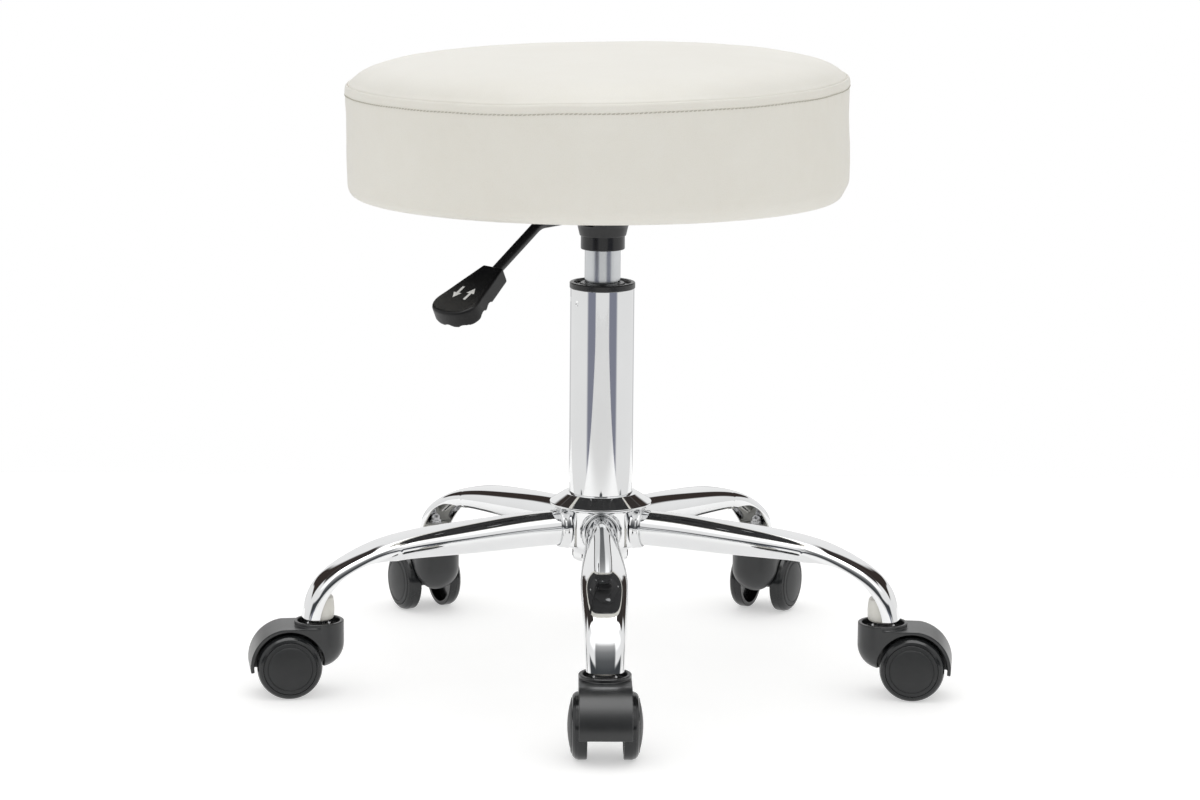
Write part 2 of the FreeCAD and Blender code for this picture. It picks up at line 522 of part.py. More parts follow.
# recess in the top of the collar
shell = shell.cut(cyl(16.4, 52.0, 70))
web = Part.makeCylinder(28.4, 9.0, V(ax, -4.5, az), V(0, 1, 0)).common(box(-8, 60, -10, 10, 22.0, 56))
boss_ax = Part.makeCylinder(6.6, 25.2, V(ax, -12.6, az), V(0, 1, 0))
boss_st = cyl(9.6, 34.0, 52.0)
hood = shell.fuse(boss_st).fuse(web).fuse(boss_ax)
hood = hood.cut(cyl(STEM_R + 0.06, 36.0, 70))
hood = hood.cut(Part.makeCylinder(AXLE_R + 0.01, 60, V(ax, -30, az), V(0, 1, 0)))
hood = one(hood)
axle = Part.makeCylinder(AXLE_R, 44.0, V(ax, -22.0, az), V(0, 1, 0))
axle = axle.makeChamfer(0.5, [ed for ed in axle.Edges if ed.Length < 20 and len(ed.Vertexes) == 1])


def wheel_solid():
    """Wheel about local +Y through the origin, inner face towards -Y (profile: radius, offset)."""
    prof_w = [
        (AXLE_R + 0.05, WHEEL_IN + 0.2), (7.4, WHEEL_IN + 0.2), (7.8, WHEEL_IN + 0.8), (7.8, 19.6), (21.0, 19.6), (21.2, WHEEL_IN),
        (24.2, WHEEL_IN), ("arc", (24.78, WHEEL_IN + 0.24), (WHEEL_R, WHEEL_IN + 0.8)), (WHEEL_R, 21.4),
        ("arc", (24.6, 22.9), (23.4, 23.7)), (20.5, 24.6), (20.3, 24.2), (20.3, 22.4), (AXLE_R + 0.05, 22.4)]
    w = revolve(prof_w)
    cap_p = [(0, 22.5), (20.2, 22.5), (20.2, 24.0), ("arc", (19.95, 24.7), (19.3, 24.95)), (17.3, 25.3), (17.0, 25.05), (16.6, 25.15),
             (16.3, 25.55), dome(16.3, 25.55, WHEEL_OUT)]
    cap = revolve(cap_p)
    out = []
    for s in (w, cap):
        s.rotate(O, V(1, 0, 0), -90)      # profile axis Z becomes +Y
        out.append(s)
    return out


def on_stem(s, nm, ang):
    """Piece modelled about its own stem, turned on the stem and carried to its leg."""
    s = s.copy()
    s.rotate(O, Z, TURNED[nm])
    s.translate(V(SWIVEL_R, 0, 0))
    return turned(s, ang)


for nm, ang in LEGS:
    put("caster_%s_hood" % nm, on_stem(hood, nm, ang))
    put("caster_%s_axle" % nm, on_stem(axle, nm, ang))
    for side_nm, flip in (("l", False), ("r", True)):
        ss = []
        for s in wheel_solid():
            if flip:
                s.rotate(O, Z, 180)
            s.translate(V(ax, 0, az))
            ss.append(on_stem(s, nm, ang))
        put("caster_%s_wheel_%s" % (nm, side_nm), Part.makeCompound(ss))

# --------------------------------------------------------------------- write
for name in sorted(NODES):
    sh = NODES[name]
    bad = [s for s in sh.Solids if not s.isValid() or s.Volume <= 0]
    print(name, len(sh.Solids), "solids", round(sh.Volume / 1000.0, 2), "cm3", "INVALID" if bad else "")
    sh.exportStep("parts/%s.step" % name)
print(len(NODES), "nodes")
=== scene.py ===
import bpy
import bmesh
import math
import numpy as np
from mathutils import Vector, Matrix, noise
from mathutils.bvhtree import BVHTree


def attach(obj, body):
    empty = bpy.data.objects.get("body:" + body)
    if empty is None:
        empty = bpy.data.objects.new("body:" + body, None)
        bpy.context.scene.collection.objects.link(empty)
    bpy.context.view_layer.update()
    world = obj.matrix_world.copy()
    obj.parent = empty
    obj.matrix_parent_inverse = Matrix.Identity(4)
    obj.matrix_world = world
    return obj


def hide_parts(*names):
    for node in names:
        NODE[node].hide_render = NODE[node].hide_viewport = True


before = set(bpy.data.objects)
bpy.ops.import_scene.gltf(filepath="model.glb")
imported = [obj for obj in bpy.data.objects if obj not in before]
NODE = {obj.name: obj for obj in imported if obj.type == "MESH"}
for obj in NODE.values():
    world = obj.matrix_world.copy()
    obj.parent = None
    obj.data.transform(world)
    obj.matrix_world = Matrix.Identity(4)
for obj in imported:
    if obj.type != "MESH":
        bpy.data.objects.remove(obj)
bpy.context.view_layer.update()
scene = bpy.context.scene

# Sizes below are in millimetres, as in the part, and become metres when a mesh is made.
MM = 0.001
LEGS = [("front", -90.0), ("right", -18.0), ("rear_right", 54.0), ("rear_left", 126.0), ("left", 198.0)]
TURNED = {"front": 0.0, "right": 10.5, "rear_right": 10.0, "rear_left": -10.0, "left": -10.5}
SEAT_R, SEAT_Z0, SEAM_Z, SEAT_TOP = 194.5, 381.0, 468.3, 491.3
COL_R, COL_TOP, TUBE_R = 25.0, 307.0, 14.0
HUB_R = 31.5
LEVER_DIR = -126.0
LEVER_Z, LEVER_R = 366.0, 4.0
SWIVEL_R, TRAIL, WHEEL_R = 229.5, 23.5, 25.0


# ---------------------------------------------------------------- node helpers
def new_mat(name):
    m = bpy.data.materials.new(name)
    m.use_nodes = True
    nt = m.node_tree
    nt.nodes.clear()
    out = nt.nodes.new("ShaderNodeOutputMaterial")
    b = nt.nodes.new("ShaderNodeBsdfPrincipled")
    nt.links.new(b.outputs[0], out.inputs[0])
    co = nt.nodes.new("ShaderNodeTexCoord").outputs["Object"]
    return m, nt, b, co


def n_noise(nt, co, scale, detail=2.0, rough=0.5, dist=0.0):
    n = nt.nodes.new("ShaderNodeTexNoise")
    n.inputs["Scale"].default_value = scale
    n.inputs["Detail"].default_value = detail
    n.inputs["Roughness"].default_value = rough
    n.inputs["Distortion"].default_value = dist
    nt.links.new(co, n.inputs["Vector"])
    return n.outputs[0]


def n_voronoi(nt, co, scale, feature="F1", rand=1.0):
    n = nt.nodes.new("ShaderNodeTexVoronoi")
    n.feature = feature
    n.inputs["Scale"].default_value = scale
    n.inputs["Randomness"].default_value = rand
    nt.links.new(co, n.inputs["Vector"])
    return n.outputs[0]


def n_range(nt, x, a, b, c, d, smooth=False):
    n = nt.nodes.new("ShaderNodeMapRange")
    if smooth:
        n.interpolation_type = "SMOOTHSTEP"
    for k, v in zip((1, 2, 3, 4), (a, b, c, d)):
        n.inputs[k].default_value = v
    nt.links.new(x, n.inputs[0])
    return n.outputs[0]


def n_math(nt, op, x, y=None, z=None):
    n = nt.nodes.new("ShaderNodeMath")
    n.operation = op
    for k, v in enumerate((x, y, z)):
        if v is None:
            continue
        if isinstance(v, (int, float)):
            n.inputs[k].default_value = v
        else:
            nt.links.new(v, n.inputs[k])
    return n.outputs[0]


def n_ramp(nt, x, stops):
    n = nt.nodes.new("ShaderNodeValToRGB")
    els = n.color_ramp.elements
    while len(els) < len(stops):
        els.new(0.5)
    for e, (p, c) in zip(els, stops):
        e.position = p
        e.color = (*c, 1.0)
    nt.links.new(x, n.inputs[0])
    return n.outputs[0]


def n_mix(nt, f, a, b, kind="MIX"):
    n = nt.nodes.new("ShaderNodeMix")
    n.data_type = "RGBA"
    n.blend_type = kind
    for key, v in ((0, f), (6, a), (7, b)):
        if isinstance(v, (int, float)):
            n.inputs[key].default_value = v
        elif isinstance(v, tuple):
            n.inputs[key].default_value = (*v, 1.0)
        else:
            nt.links.new(v, n.inputs[key])
    return n.outputs[2]


def n_bump(nt, b, height, strength, dist_mm, chain=None):
    n = nt.nodes.new("ShaderNodeBump")
    n.inputs["Strength"].default_value = strength
    n.inputs["Distance"].default_value = dist_mm * MM
    nt.links.new(height, n.inputs["Height"])
    if chain is not None:
        nt.links.new(chain, n.inputs["Normal"])
    nt.links.new(n.outputs[0], b.inputs["Normal"])
    return n.outputs[0]


def n_stretch(nt, co, sx, sy, sz):
    n = nt.nodes.new("ShaderNodeVectorMath")
    n.operation = "MULTIPLY"
    nt.links.new(co, n.inputs[0])
    n.inputs[1].default_value = (sx, sy, sz)
    return n.outputs[0]


# ------------------------------------------------------------------- materials
MAT = {}


def metal(name, lo, hi, r_lo, r_hi, cell=40.0, fine=900.0, bump=0.0, bump_mm=0.02, stretch=None):
    m, nt, b, co = new_mat(name)
    b.inputs["Metallic"].default_value = 1.0
    big = n_noise(nt, co, cell, 3.0)
    nt.links.new(n_ramp(nt, big, [(0.3, lo), (0.7, hi)]), b.inputs["Base Color"])
    src = n_stretch(nt, co, *stretch) if stretch else co
    small = n_noise(nt, src, fine, 3.0, 0.6)
    mixed = n_math(nt, "ADD", n_math(nt, "MULTIPLY", big, 0.5), n_math(nt, "MULTIPLY", small, 0.5))
    nt.links.new(n_range(nt, mixed, 0.3, 0.7, r_lo, r_hi), b.inputs["Roughness"])
    if bump:
        n_bump(nt, b, small, bump, bump_mm)
    MAT[name] = m
    return m


def plastic(name, lo, hi, r_lo, r_hi, grain, grain_mm, strength=0.5, spec=0.5, cell=60.0):
    m, nt, b, co = new_mat(name)
    b.inputs["Specular IOR Level"].default_value = spec
    big = n_noise(nt, co, cell, 4.0, 0.55)
    nt.links.new(n_ramp(nt, big, [(0.3, lo), (0.7, hi)]), b.inputs["Base Color"])
    g1 = n_noise(nt, co, grain, 2.0, 0.6)
    g2 = n_voronoi(nt, co, grain * 0.7, "SMOOTH_F1")
    g = n_math(nt, "ADD", n_math(nt, "MULTIPLY", g1, 0.6), n_math(nt, "MULTIPLY", g2, 0.4))
    nt.links.new(n_range(nt, n_math(nt, "ADD", n_math(nt, "MULTIPLY", big, 0.6), n_math(nt, "MULTIPLY", g1, 0.4)),
                         0.3, 0.7, r_lo, r_hi), b.inputs["Roughness"])
    n_bump(nt, b, g, strength, grain_mm)
    MAT[name] = m
    return m


metal("chrome", (0.775, 0.78, 0.785), (0.815, 0.82, 0.825), 0.025, 0.05, cell=14.0, fine=260.0)
metal("bright_steel", (0.5, 0.5, 0.51), (0.62, 0.62, 0.63), 0.22, 0.36, fine=1500.0, bump=0.25, bump_mm=0.02)
metal("zinc_steel", (0.52, 0.53, 0.55), (0.66, 0.66, 0.65), 0.28, 0.46, cell=120.0, fine=1600.0, bump=0.3, bump_mm=0.02)
metal("tube_silver", (0.60, 0.615, 0.63), (0.68, 0.695, 0.71), 0.20, 0.26, cell=30.0, fine=140.0, bump=0.12, bump_mm=0.01,
      stretch=(1.0, 1.0, 30.0))
metal("aluminium", (0.62, 0.62, 0.63), (0.72, 0.72, 0.73), 0.3, 0.45, fine=1200.0, bump=0.3, bump_mm=0.02)
plastic("black_paint", (0.011, 0.011, 0.012), (0.018, 0.018, 0.019), 0.26, 0.38, 900.0, 0.03, 0.35)
plastic("collar_black", (0.008, 0.008, 0.009), (0.013, 0.013, 0.014), 0.14, 0.24, 700.0, 0.012, 0.25)
plastic("white_nylon", (0.66, 0.65, 0.60), (0.74, 0.73, 0.69), 0.30, 0.44, 900.0, 0.02, 0.3)
plastic("black_nylon", (0.014, 0.014, 0.015), (0.022, 0.022, 0.023), 0.22, 0.34, 1100.0, 0.02, 0.35)
plastic("paddle_black", (0.0035, 0.0035, 0.004), (0.006, 0.006, 0.0065), 0.30, 0.40, 1600.0, 0.012, 0.25, 0.3)
plastic("rubber", (0.018, 0.018, 0.018), (0.028, 0.028, 0.028), 0.6, 0.75, 900.0, 0.04, 0.5)
plastic("caster_black", (0.014, 0.015, 0.016), (0.020, 0.021, 0.022), 0.27, 0.36, 1500.0, 0.025, 0.35, 0.6)
plastic("wheel_black", (0.011, 0.012, 0.013), (0.016, 0.017, 0.018), 0.12, 0.18, 1300.0, 0.015, 0.3, 0.45)
plastic("cap_black", (0.014, 0.015, 0.016), (0.020, 0.021, 0.022), 0.42, 0.54, 1400.0, 0.04, 0.5, 0.45)


def make_leather():
    m, nt, b, co = new_mat("cream_leather")
    big = n_noise(nt, co, 9.0, 3.0, 0.55)
    mid = n_noise(nt, co, 70.0, 4.0, 0.6)
    tone = n_math(nt, "ADD", n_math(nt, "MULTIPLY", big, 0.65), n_math(nt, "MULTIPLY", mid, 0.35))
    base = n_ramp(nt, tone, [(0.32, (0.795, 0.778, 0.725)), (0.68, (0.830, 0.818, 0.772))])
    # pebbled grain: cells about a millimetre across, warped a little, with fine pores
    warp = nt.nodes.new("ShaderNodeVectorMath")
    warp.operation = "MULTIPLY_ADD"
    wn = nt.nodes.new("ShaderNodeTexNoise")
    wn.inputs["Scale"].default_value = 420.0
    wn.inputs["Detail"].default_value = 2.0
    nt.links.new(co, wn.inputs["Vector"])
    nt.links.new(wn.outputs[1], warp.inputs[0])
    warp.inputs[1].default_value = (0.0011, 0.0011, 0.0011)
    nt.links.new(co, warp.inputs[2])
    cells = n_voronoi(nt, warp.outputs[0], 900.0, "DISTANCE_TO_EDGE")
    pebble = n_range(nt, cells, 0.0, 0.22, 0.0, 1.0, True)
    pores = n_noise(nt, co, 3600.0, 2.0, 0.6)
    height = n_math(nt, "ADD", n_math(nt, "MULTIPLY", pebble, 0.75), n_math(nt, "MULTIPLY", pores, 0.25))
    # painted shade: the base colour is mixed up to a tenth of the way to a darker brown in the low valleys between the
    # pebbles
    nt.links.new(n_mix(nt, n_range(nt, pebble, 0.0, 0.5, 0.10, 0.0), base, (0.62, 0.58, 0.50), "MIX"), b.inputs["Base Color"])
    nt.links.new(n_range(nt, n_math(nt, "ADD", n_math(nt, "MULTIPLY", mid, 0.6), n_math(nt, "MULTIPLY", pores, 0.4)),
                         0.3, 0.7, 0.42, 0.56), b.inputs["Roughness"])
    b.inputs["Specular IOR Level"].default_value = 0.4
    b.inputs["Subsurface Weight"].default_value = 0.04
    b.inputs["Subsurface Radius"].default_value = (1.0, 0.8, 0.6)
    b.inputs["Subsurface Scale"].default_value = 0.0015
    b.inputs["Sheen Weight"].default_value = 0.05
    b.inputs["Sheen Roughness"].default_value = 0.4
    n_bump(nt, b, height, 0.30, 0.05)
    MAT["cream_leather"] = m


make_leather()


def make_thread():
    m, nt, b, co = new_mat("thread")
    tone = n_noise(nt, co, 900.0, 3.0)
    nt.links.new(n_ramp(nt, tone, [(0.3, (0.46, 0.445, 0.39)), (0.7, (0.56, 0.545, 0.485))]), b.inputs["Base Color"])
    nt.links.new(n_range(nt, tone, 0.3, 0.7, 0.5, 0.7), b.inputs["Roughness"])
    n_bump(nt, b, n_noise(nt, co, 6000.0, 2.0), 0.5, 0.05)
    MAT["thread"] = m


make_thread()


def make_foam():
    m, nt, b, co = new_mat("foam")
    tone = n_noise(nt, co, 40.0, 3.0)
    cells = n_voronoi(nt, co, 1100.0, "F1")
    base = n_ramp(nt, tone, [(0.3, (0.72, 0.64, 0.40)), (0.7, (0.80, 0.73, 0.50))])
    nt.links.new(n_mix(nt, n_range(nt, cells, 0.1, 0.6, 0.0, 0.45), base, (0.50, 0.42, 0.22), "MIX"), b.inputs["Base Color"])
    nt.links.new(n_range(nt, cells, 0.0, 0.7, 0.75, 0.95), b.inputs["Roughness"])
    n_bump(nt, b, cells, 0.7, 0.3)
    MAT["foam"] = m


make_foam()


def make_plywood():
    m, nt, b, co = new_mat("plywood")
    # plies across the thickness, grain along X
    wave = nt.nodes.new("ShaderNodeTexWave")
    wave.wave_type = "BANDS"
    wave.bands_direction = "Z"
    wave.inputs["Scale"].default_value = 105.0
    wave.inputs["Distortion"].default_value = 0.6
    wave.inputs["Detail"].default_value = 2.0
    nt.links.new(co, wave.inputs["Vector"])
    grain = n_noise(nt, n_stretch(nt, co, 12.0, 180.0, 180.0), 1.0, 5.0, 0.6, 0.4)
    base = n_ramp(nt, grain, [(0.28, (0.40, 0.25, 0.12)), (0.55, (0.56, 0.39, 0.22)), (0.8, (0.66, 0.49, 0.31))])
    nt.links.new(n_mix(nt, n_range(nt, wave.outputs[1], 0.3, 0.7, 0.0, 0.35), base, (0.33, 0.20, 0.10), "MIX"),
                 b.inputs["Base Color"])
    nt.links.new(n_range(nt, grain, 0.2, 0.8, 0.55, 0.75), b.inputs["Roughness"])
    n_bump(nt, b, grain, 0.4, 0.15)
    MAT["plywood"] = m


make_plywood()


def make_dust():
    m, nt, b, co = new_mat("dust_cloth")
    fibre = n_noise(nt, co, 1800.0, 4.0, 0.7, 1.5)
    # embossed point pattern of a spun-bonded non-woven
    dots = n_voronoi(nt, co, 620.0, "F1", 0.0)
    press = n_range(nt, dots, 0.16, 0.34, 1.0, 0.0, True)
    base = n_ramp(nt, fibre, [(0.3, (0.012, 0.012, 0.013)), (0.7, (0.032, 0.032, 0.034))])
    nt.links.new(n_mix(nt, n_math(nt, "MULTIPLY", press, 0.7), base, (0.008, 0.008, 0.009), "MIX"), b.inputs["Base Color"])
    nt.links.new(n_range(nt, fibre, 0.3, 0.7, 0.7, 0.9), b.inputs["Roughness"])
    n_bump(nt, b, n_math(nt, "SUBTRACT", fibre, n_math(nt, "MULTIPLY", press, 0.8)), 0.5, 0.15)
    MAT["dust_cloth"] = m


make_dust()


def make_print():
    m, nt, b, co = new_mat("print_white")
    tone = n_noise(nt, co, 700.0, 3.0, 0.6)
    nt.links.new(n_ramp(nt, tone, [(0.25, (0.62, 0.62, 0.61)), (0.6, (0.74, 0.74, 0.73))]), b.inputs["Base Color"])
    nt.links.new(n_range(nt, tone, 0.3, 0.7, 0.42, 0.58), b.inputs["Roughness"])
    n_bump(nt, b, n_noise(nt, co, 2600.0, 2.0), 0.25, 0.02)
    MAT["print_white"] = m


make_print()


# ---------------------------------------------------------------- mesh helpers
def make_obj(name, verts, faces, body, mats, slot=None, replaces=(), sharp=None, fix=True, scale=MM):
    me = bpy.data.meshes.new(name)
    me.from_pydata((np.asarray(verts, float) * scale).tolist(), [], faces)
    me.validate()
    if fix:
        bm = bmesh.new()
        bm.from_mesh(me)
        bmesh.ops.remove_doubles(bm, verts=bm.verts, dist=1e-7)
        bmesh.ops.recalc_face_normals(bm, faces=bm.faces)
        bm.to_mesh(me)
        bm.free()
    me.shade_smooth()
    if sharp is not None:
        me.set_sharp_from_angle(angle=math.radians(sharp))
    ob = bpy.data.objects.new(name, me)
    scene.collection.objects.link(ob)
    for mt in (mats if isinstance(mats, (list, tuple)) else [mats]):
        me.materials.append(MAT[mt])
    if body is not None:
        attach(ob, body)
    if replaces:
        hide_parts(*([replaces] if isinstance(replaces, str) else replaces))
    return ob


def rounded(pts, closed=True, seg=5, hold=0.25):
    """Polyline (r, z, fillet radius) with its corners rounded, and a point held close beside each rounding."""
    out = []
    cnt = len(pts)
    for i, p in enumerate(pts):
        c = np.array(p[:2], float)
        rad = p[2] if len(p) > 2 else 0.0
        if rad <= 0 or (not closed and i in (0, cnt - 1)):
            out.append(c)
            continue
        a = np.array(pts[(i - 1) % cnt][:2], float) - c
        b = np.array(pts[(i + 1) % cnt][:2], float) - c
        la, lb = np.linalg.norm(a), np.linalg.norm(b)
        a, b = a / la, b / lb
        phi = math.acos(max(-1.0, min(1.0, float(a @ b))))
        t = min(rad / math.tan(phi / 2), 0.46 * la, 0.46 * lb)
        r = t * math.tan(phi / 2)
        mid = (a + b) / np.linalg.norm(a + b)
        o = c + mid * (r / math.sin(phi / 2))
        s, e = c + a * t, c + b * t
        if la - t > 3 * hold:
            out.append(s + a * hold)
        v0, v1 = s - o, e - o
        w = math.acos(max(-1.0, min(1.0, float(v0 @ v1) / (r * r))))
        for k in range(seg + 1):
            f = k / seg
            out.append(o + (v0 * math.sin((1 - f) * w) + v1 * math.sin(f * w)) / math.sin(w))
        if lb - t > 3 * hold:
            out.append(e + b * hold)
    return out


def lathe(profile, n, closed=True, axis_z=True):
    """Surface of revolution of (r, z) points; a closed profile gives a ring, an open one ends on the axis."""
    verts, faces, rows = [], [], []
    ang = np.linspace(0, 2 * math.pi, n, endpoint=False)
    ca, sa = np.cos(ang), np.sin(ang)
    for r, z in profile:
        if r < 1e-6:
            rows.append([len(verts)])
            verts.append((0.0, 0.0, z))
        else:
            rows.append(list(range(len(verts), len(verts) + n)))
            verts.extend(zip(r * ca, r * sa, [z] * n))
    pairs = list(zip(rows, rows[1:])) + ([(rows[-1], rows[0])] if closed else [])
    for a, b in pairs:
        if len(a) == 1 and len(b) == 1:
            continue
        for i in range(n):
            j = (i + 1) % n
            if len(a) == 1:
                faces.append((a[0], b[j], b[i]))
            elif len(b) == 1:
                faces.append((a[i], a[j], b[0]))
            else:
                faces.append((a[i], a[j], b[j], b[i]))
    return np.array(verts), faces


def rot_z(v, deg):
    a = math.radians(deg)
    c, s = math.cos(a), math.sin(a)
    v = np.asarray(v, float)
    return np.stack([v[:, 0] * c - v[:, 1] * s, v[:, 0] * s + v[:, 1] * c, v[:, 2]], 1)


def nat_spline(s, Y, x):
    """Natural cubic spline through the rows of Y at s, read at x."""
    s, Y, x = np.asarray(s, float), np.asarray(Y, float), np.asarray(x, float)
    n = len(s)
    h = np.diff(s)
    A = np.zeros((n, n))
    R = np.zeros((n, Y.shape[1]))
    A[0, 0] = A[-1, -1] = 1.0
    for i in range(1, n - 1):
        A[i, i - 1], A[i, i], A[i, i + 1] = h[i - 1], 2 * (h[i - 1] + h[i]), h[i]
        R[i] = 6 * ((Y[i + 1] - Y[i]) / h[i] - (Y[i] - Y[i - 1]) / h[i - 1])
    M = np.linalg.solve(A, R)
    k = np.clip(np.searchsorted(s, x, side="right") - 1, 0, n - 2)
    hk = h[k][:, None]
    a = ((s[k + 1] - x) / h[k])[:, None]
    b = 1 - a
    return a * Y[k] + b * Y[k + 1] + ((a ** 3 - a) * M[k] + (b ** 3 - b) * M[k + 1]) * hk ** 2 / 6


def bevel(ob, width_mm, angle=38.0, segments=2):
    m = ob.modifiers.new("edge", "BEVEL")
    m.width = width_mm * MM
    m.segments = segments
    m.limit_method = "ANGLE"
    m.angle_limit = math.radians(angle)
    m.harden_normals = False
    return m


def remeshed(src, matrix, voxel_mm, smooth, ratio=None):
    """Moulded copy of a mesh: evenly remeshed, its edges softened."""
    me = src.copy()
    me.transform(matrix)
    bm = bmesh.new()
    bm.from_mesh(me)
    bmesh.ops.remove_doubles(bm, verts=bm.verts, dist=2e-6)
    bm.to_mesh(me)
    bm.free()
    ob = bpy.data.objects.new("tmp_remesh", me)
    scene.collection.objects.link(ob)
    r = ob.modifiers.new("r", "REMESH")
    r.mode = "VOXEL"
    r.voxel_size = voxel_mm * MM
    r.use_smooth_shade = True
    s = ob.modifiers.new("s", "SMOOTH")
    s.factor = 0.5
    s.iterations = smooth
    if ratio:
        d = ob.modifiers.new("d", "DECIMATE")
        d.ratio = ratio
    dg = bpy.context.evaluated_depsgraph_get()
    out = bpy.data.meshes.new_from_object(ob.evaluated_get(dg))
    bpy.data.objects.remove(ob)
    bpy.data.meshes.remove(me)
    out.materials.clear()
    out.shade_smooth()
    return out


# ------------------------------------------------------------------------ legs
LEG_ST = [
    ((25.0, 132.4), (25.0, 104.4), 24.0, 2),
    ((66.0, 131.0), (66.0, 103.2), 25.6, 2),
    ((100.0, 128.4), (100.0, 102.2), 29.8, 2.15),
    ((135.0, 124.9), (134.0, 102.0), 33.8, 2.4),
    ((163.0, 120.7), (159.0, 102.0), 35.6, 2.7),
    ((185.5, 114.7), (177.0, 99.8), 35.2, 3),
    ((205.5, 106.0), (192.5, 90.6), 33.6, 3.2),
    ((222.0, 96.6), (204.0, 81.5), 31.8, 3.3),
    ((233.8, 85.6), (211.0, 76.0), 30.4, 3.3),
    ((239.6, 73.0), (214.0, 69.3), 29.4, 3.2),
    ((242.2, 60.0), (215.0, 60.0), 28.4, 3.1),
]
LEG_WALL = 1.6
LEG_CUT = [(164.0, 101.2), (172.0, 103.0), (180.0, 103.6), (187.0, 103.0), (193.5, 101.8), (199.5, 99.6), (205.3, 97.0), (210.3, 94.0),
           (214.4, 90.8), (218.2, 87.0), (221.4, 83.4), (224.5, 79.6), (227.4, 74.8), (229.6, 69.4), (231.1, 64.4), (231.8, 59.0),
           (232.0, 50.0)]


def leg_mesh():
    rows = np.array([[t[0], t[1], b[0], b[1], w, n] for t, b, w, n in LEG_ST])
    d = np.diff(rows[:, :4], axis=0)
    s = np.concatenate([[0], np.cumsum((np.hypot(d[:, 0], d[:, 1]) + np.hypot(d[:, 2], d[:, 3])) / 2)])
    xs = np.linspace(0, s[-1], 481)
    R = nat_spline(s, rows, xs)
    # even out the curvature, holding both ends
    sig = 7.0
    for _ in range(1):
        K = np.exp(-0.5 * ((xs[:, None] - xs[None, :]) / sig) ** 2)
        pad_lo = 2 * R[0] - R[1:120][::-1]
        pad_hi = 2 * R[-1] - R[-120:-1][::-1]
        ext = np.concatenate([pad_lo, R, pad_hi])
        ex = np.concatenate([2 * xs[0] - xs[1:120][::-1], xs, 2 * xs[-1] - xs[-120:-1][::-1]])
        W = np.exp(-0.5 * ((xs[:, None] - ex[None, :]) / sig) ** 2)
        R = (W @ ext) / W.sum(1, keepdims=True)
    keep = np.linspace(0, 480, 161).round().astype(int)
    R = R[keep]
    cut = np.array(LEG_CUT)
    cs = np.concatenate([[0], np.cumsum(np.hypot(*np.diff(cut, axis=0).T))])
    C = nat_spline(cs, cut, np.linspace(0, cs[-1], 400))
    run = np.linspace(0, 1, 160, endpoint=False)[:, None]
    C = np.concatenate([np.array([150.0, 98.0]) * (1 - run) + cut[0] * run, C])
    M = 88
    outer, inner, opened = [], [], []
    for tr, tz, br, bz, w, n in R:
        c = np.array([(tr + br) / 2, (tz + bz) / 2])
        h = math.hypot(tr - br, tz - bz)
        u = np.array([tr - br, tz - bz]) / h
        nrm = np.array([-u[1], u[0]])
        # where the cut's edge crosses this section, measured up from its middle
        rel = C - c
        side = rel @ nrm
        vcut = None
        for i in range(len(C) - 1):
            if side[i] * side[i + 1] <= 0 and side[i] != side[i + 1]:
                f = side[i] / (side[i] - side[i + 1])
                v = (rel[i] + f * (rel[i + 1] - rel[i])) @ u
                if -h / 2 < v < h / 2:
                    vcut = v
        ring_pair = []
        for shrink in (0.0, LEG_WALL):
            a, b = w / 2 - shrink, h / 2 - shrink
            t = np.linspace(-math.pi / 2, math.pi / 2, 721)
            yy = a * np.abs(np.cos(t)) ** (2 / n)
            vv = b * np.sign(np.sin(t)) * np.abs(np.sin(t)) ** (2 / n)
            yy[0] = yy[-1] = 0.0
            if vcut is not None and vcut > -b:
                i0 = int(np.searchsorted(vv, vcut))
                f = (vcut - vv[i0 - 1]) / max(vv[i0] - vv[i0 - 1], 1e-9)
                y0 = yy[i0 - 1] + f * (yy[i0] - yy[i0 - 1])
                yy = np.concatenate([[y0], yy[i0:]])
                vv = np.concatenate([[vcut], vv[i0:]])
            L = np.concatenate([[0], np.cumsum(np.hypot(np.diff(yy), np.diff(vv)))])
            q = np.linspace(0, L[-1], M // 2 + 1)
            yy, vv = np.interp(q, L, yy), np.interp(q, L, vv)
            Y = np.concatenate([yy, -yy[-2::-1]])
            Vv = np.concatenate([vv, vv[-2::-1]])
            ring_pair.append(np.stack([c[0] + u[0] * Vv, Y, c[1] + u[1] * Vv], 1))
        outer.append(ring_pair[0])
        inner.append(ring_pair[1])
        opened.append(vcut is not None)
    # start on the barrel of the hub
    first = [k for k in range(len(R)) if outer[k][:, 0].min() > HUB_R + 1.5][0]
    outer, inner, opened = outer[first - 1:], inner[first - 1:], opened[first - 1:]
    for ring in (outer[0], inner[0]):
        ring[:, 0] = np.sqrt(np.maximum((HUB_R + 0.02) ** 2 - ring[:, 1] ** 2, 1.0))
    verts, faces = [], []
    nr, m = len(outer), outer[0].shape[0]
    verts = np.concatenate([np.concatenate(outer), np.concatenate(inner)])
    o = lambda k, i: k * m + i
    n_ = lambda k, i: nr * m + k * m + i
    for k in range(nr - 1):
        for i in range(m - 1):
            faces.append((o(k, i), o(k, i + 1), o(k + 1, i + 1), o(k + 1, i)))
            faces.append((n_(k, i), n_(k + 1, i), n_(k + 1, i + 1), n_(k, i + 1)))
        if opened[k + 1]:
            faces.append((o(k, 0), o(k + 1, 0), n_(k + 1, 0), n_(k, 0)))
            faces.append((o(k, m - 1), n_(k, m - 1), n_(k + 1, m - 1), o(k + 1, m - 1)))
    for i in range(m - 1):
        faces.append((o(0, i), n_(0, i), n_(0, i + 1), o(0, i + 1)))
        faces.append((o(nr - 1, i), o(nr - 1, i + 1), n_(nr - 1, i + 1), n_(nr - 1, i)))
    return verts, faces


leg_v, leg_f = leg_mesh()
for nm, ang in LEGS:
    ob = make_obj("leg_%s_tube" % nm, rot_z(leg_v, ang), leg_f, "base", "chrome", "chrome", "leg_" + nm, sharp=40)
    bevel(ob, 0.35)



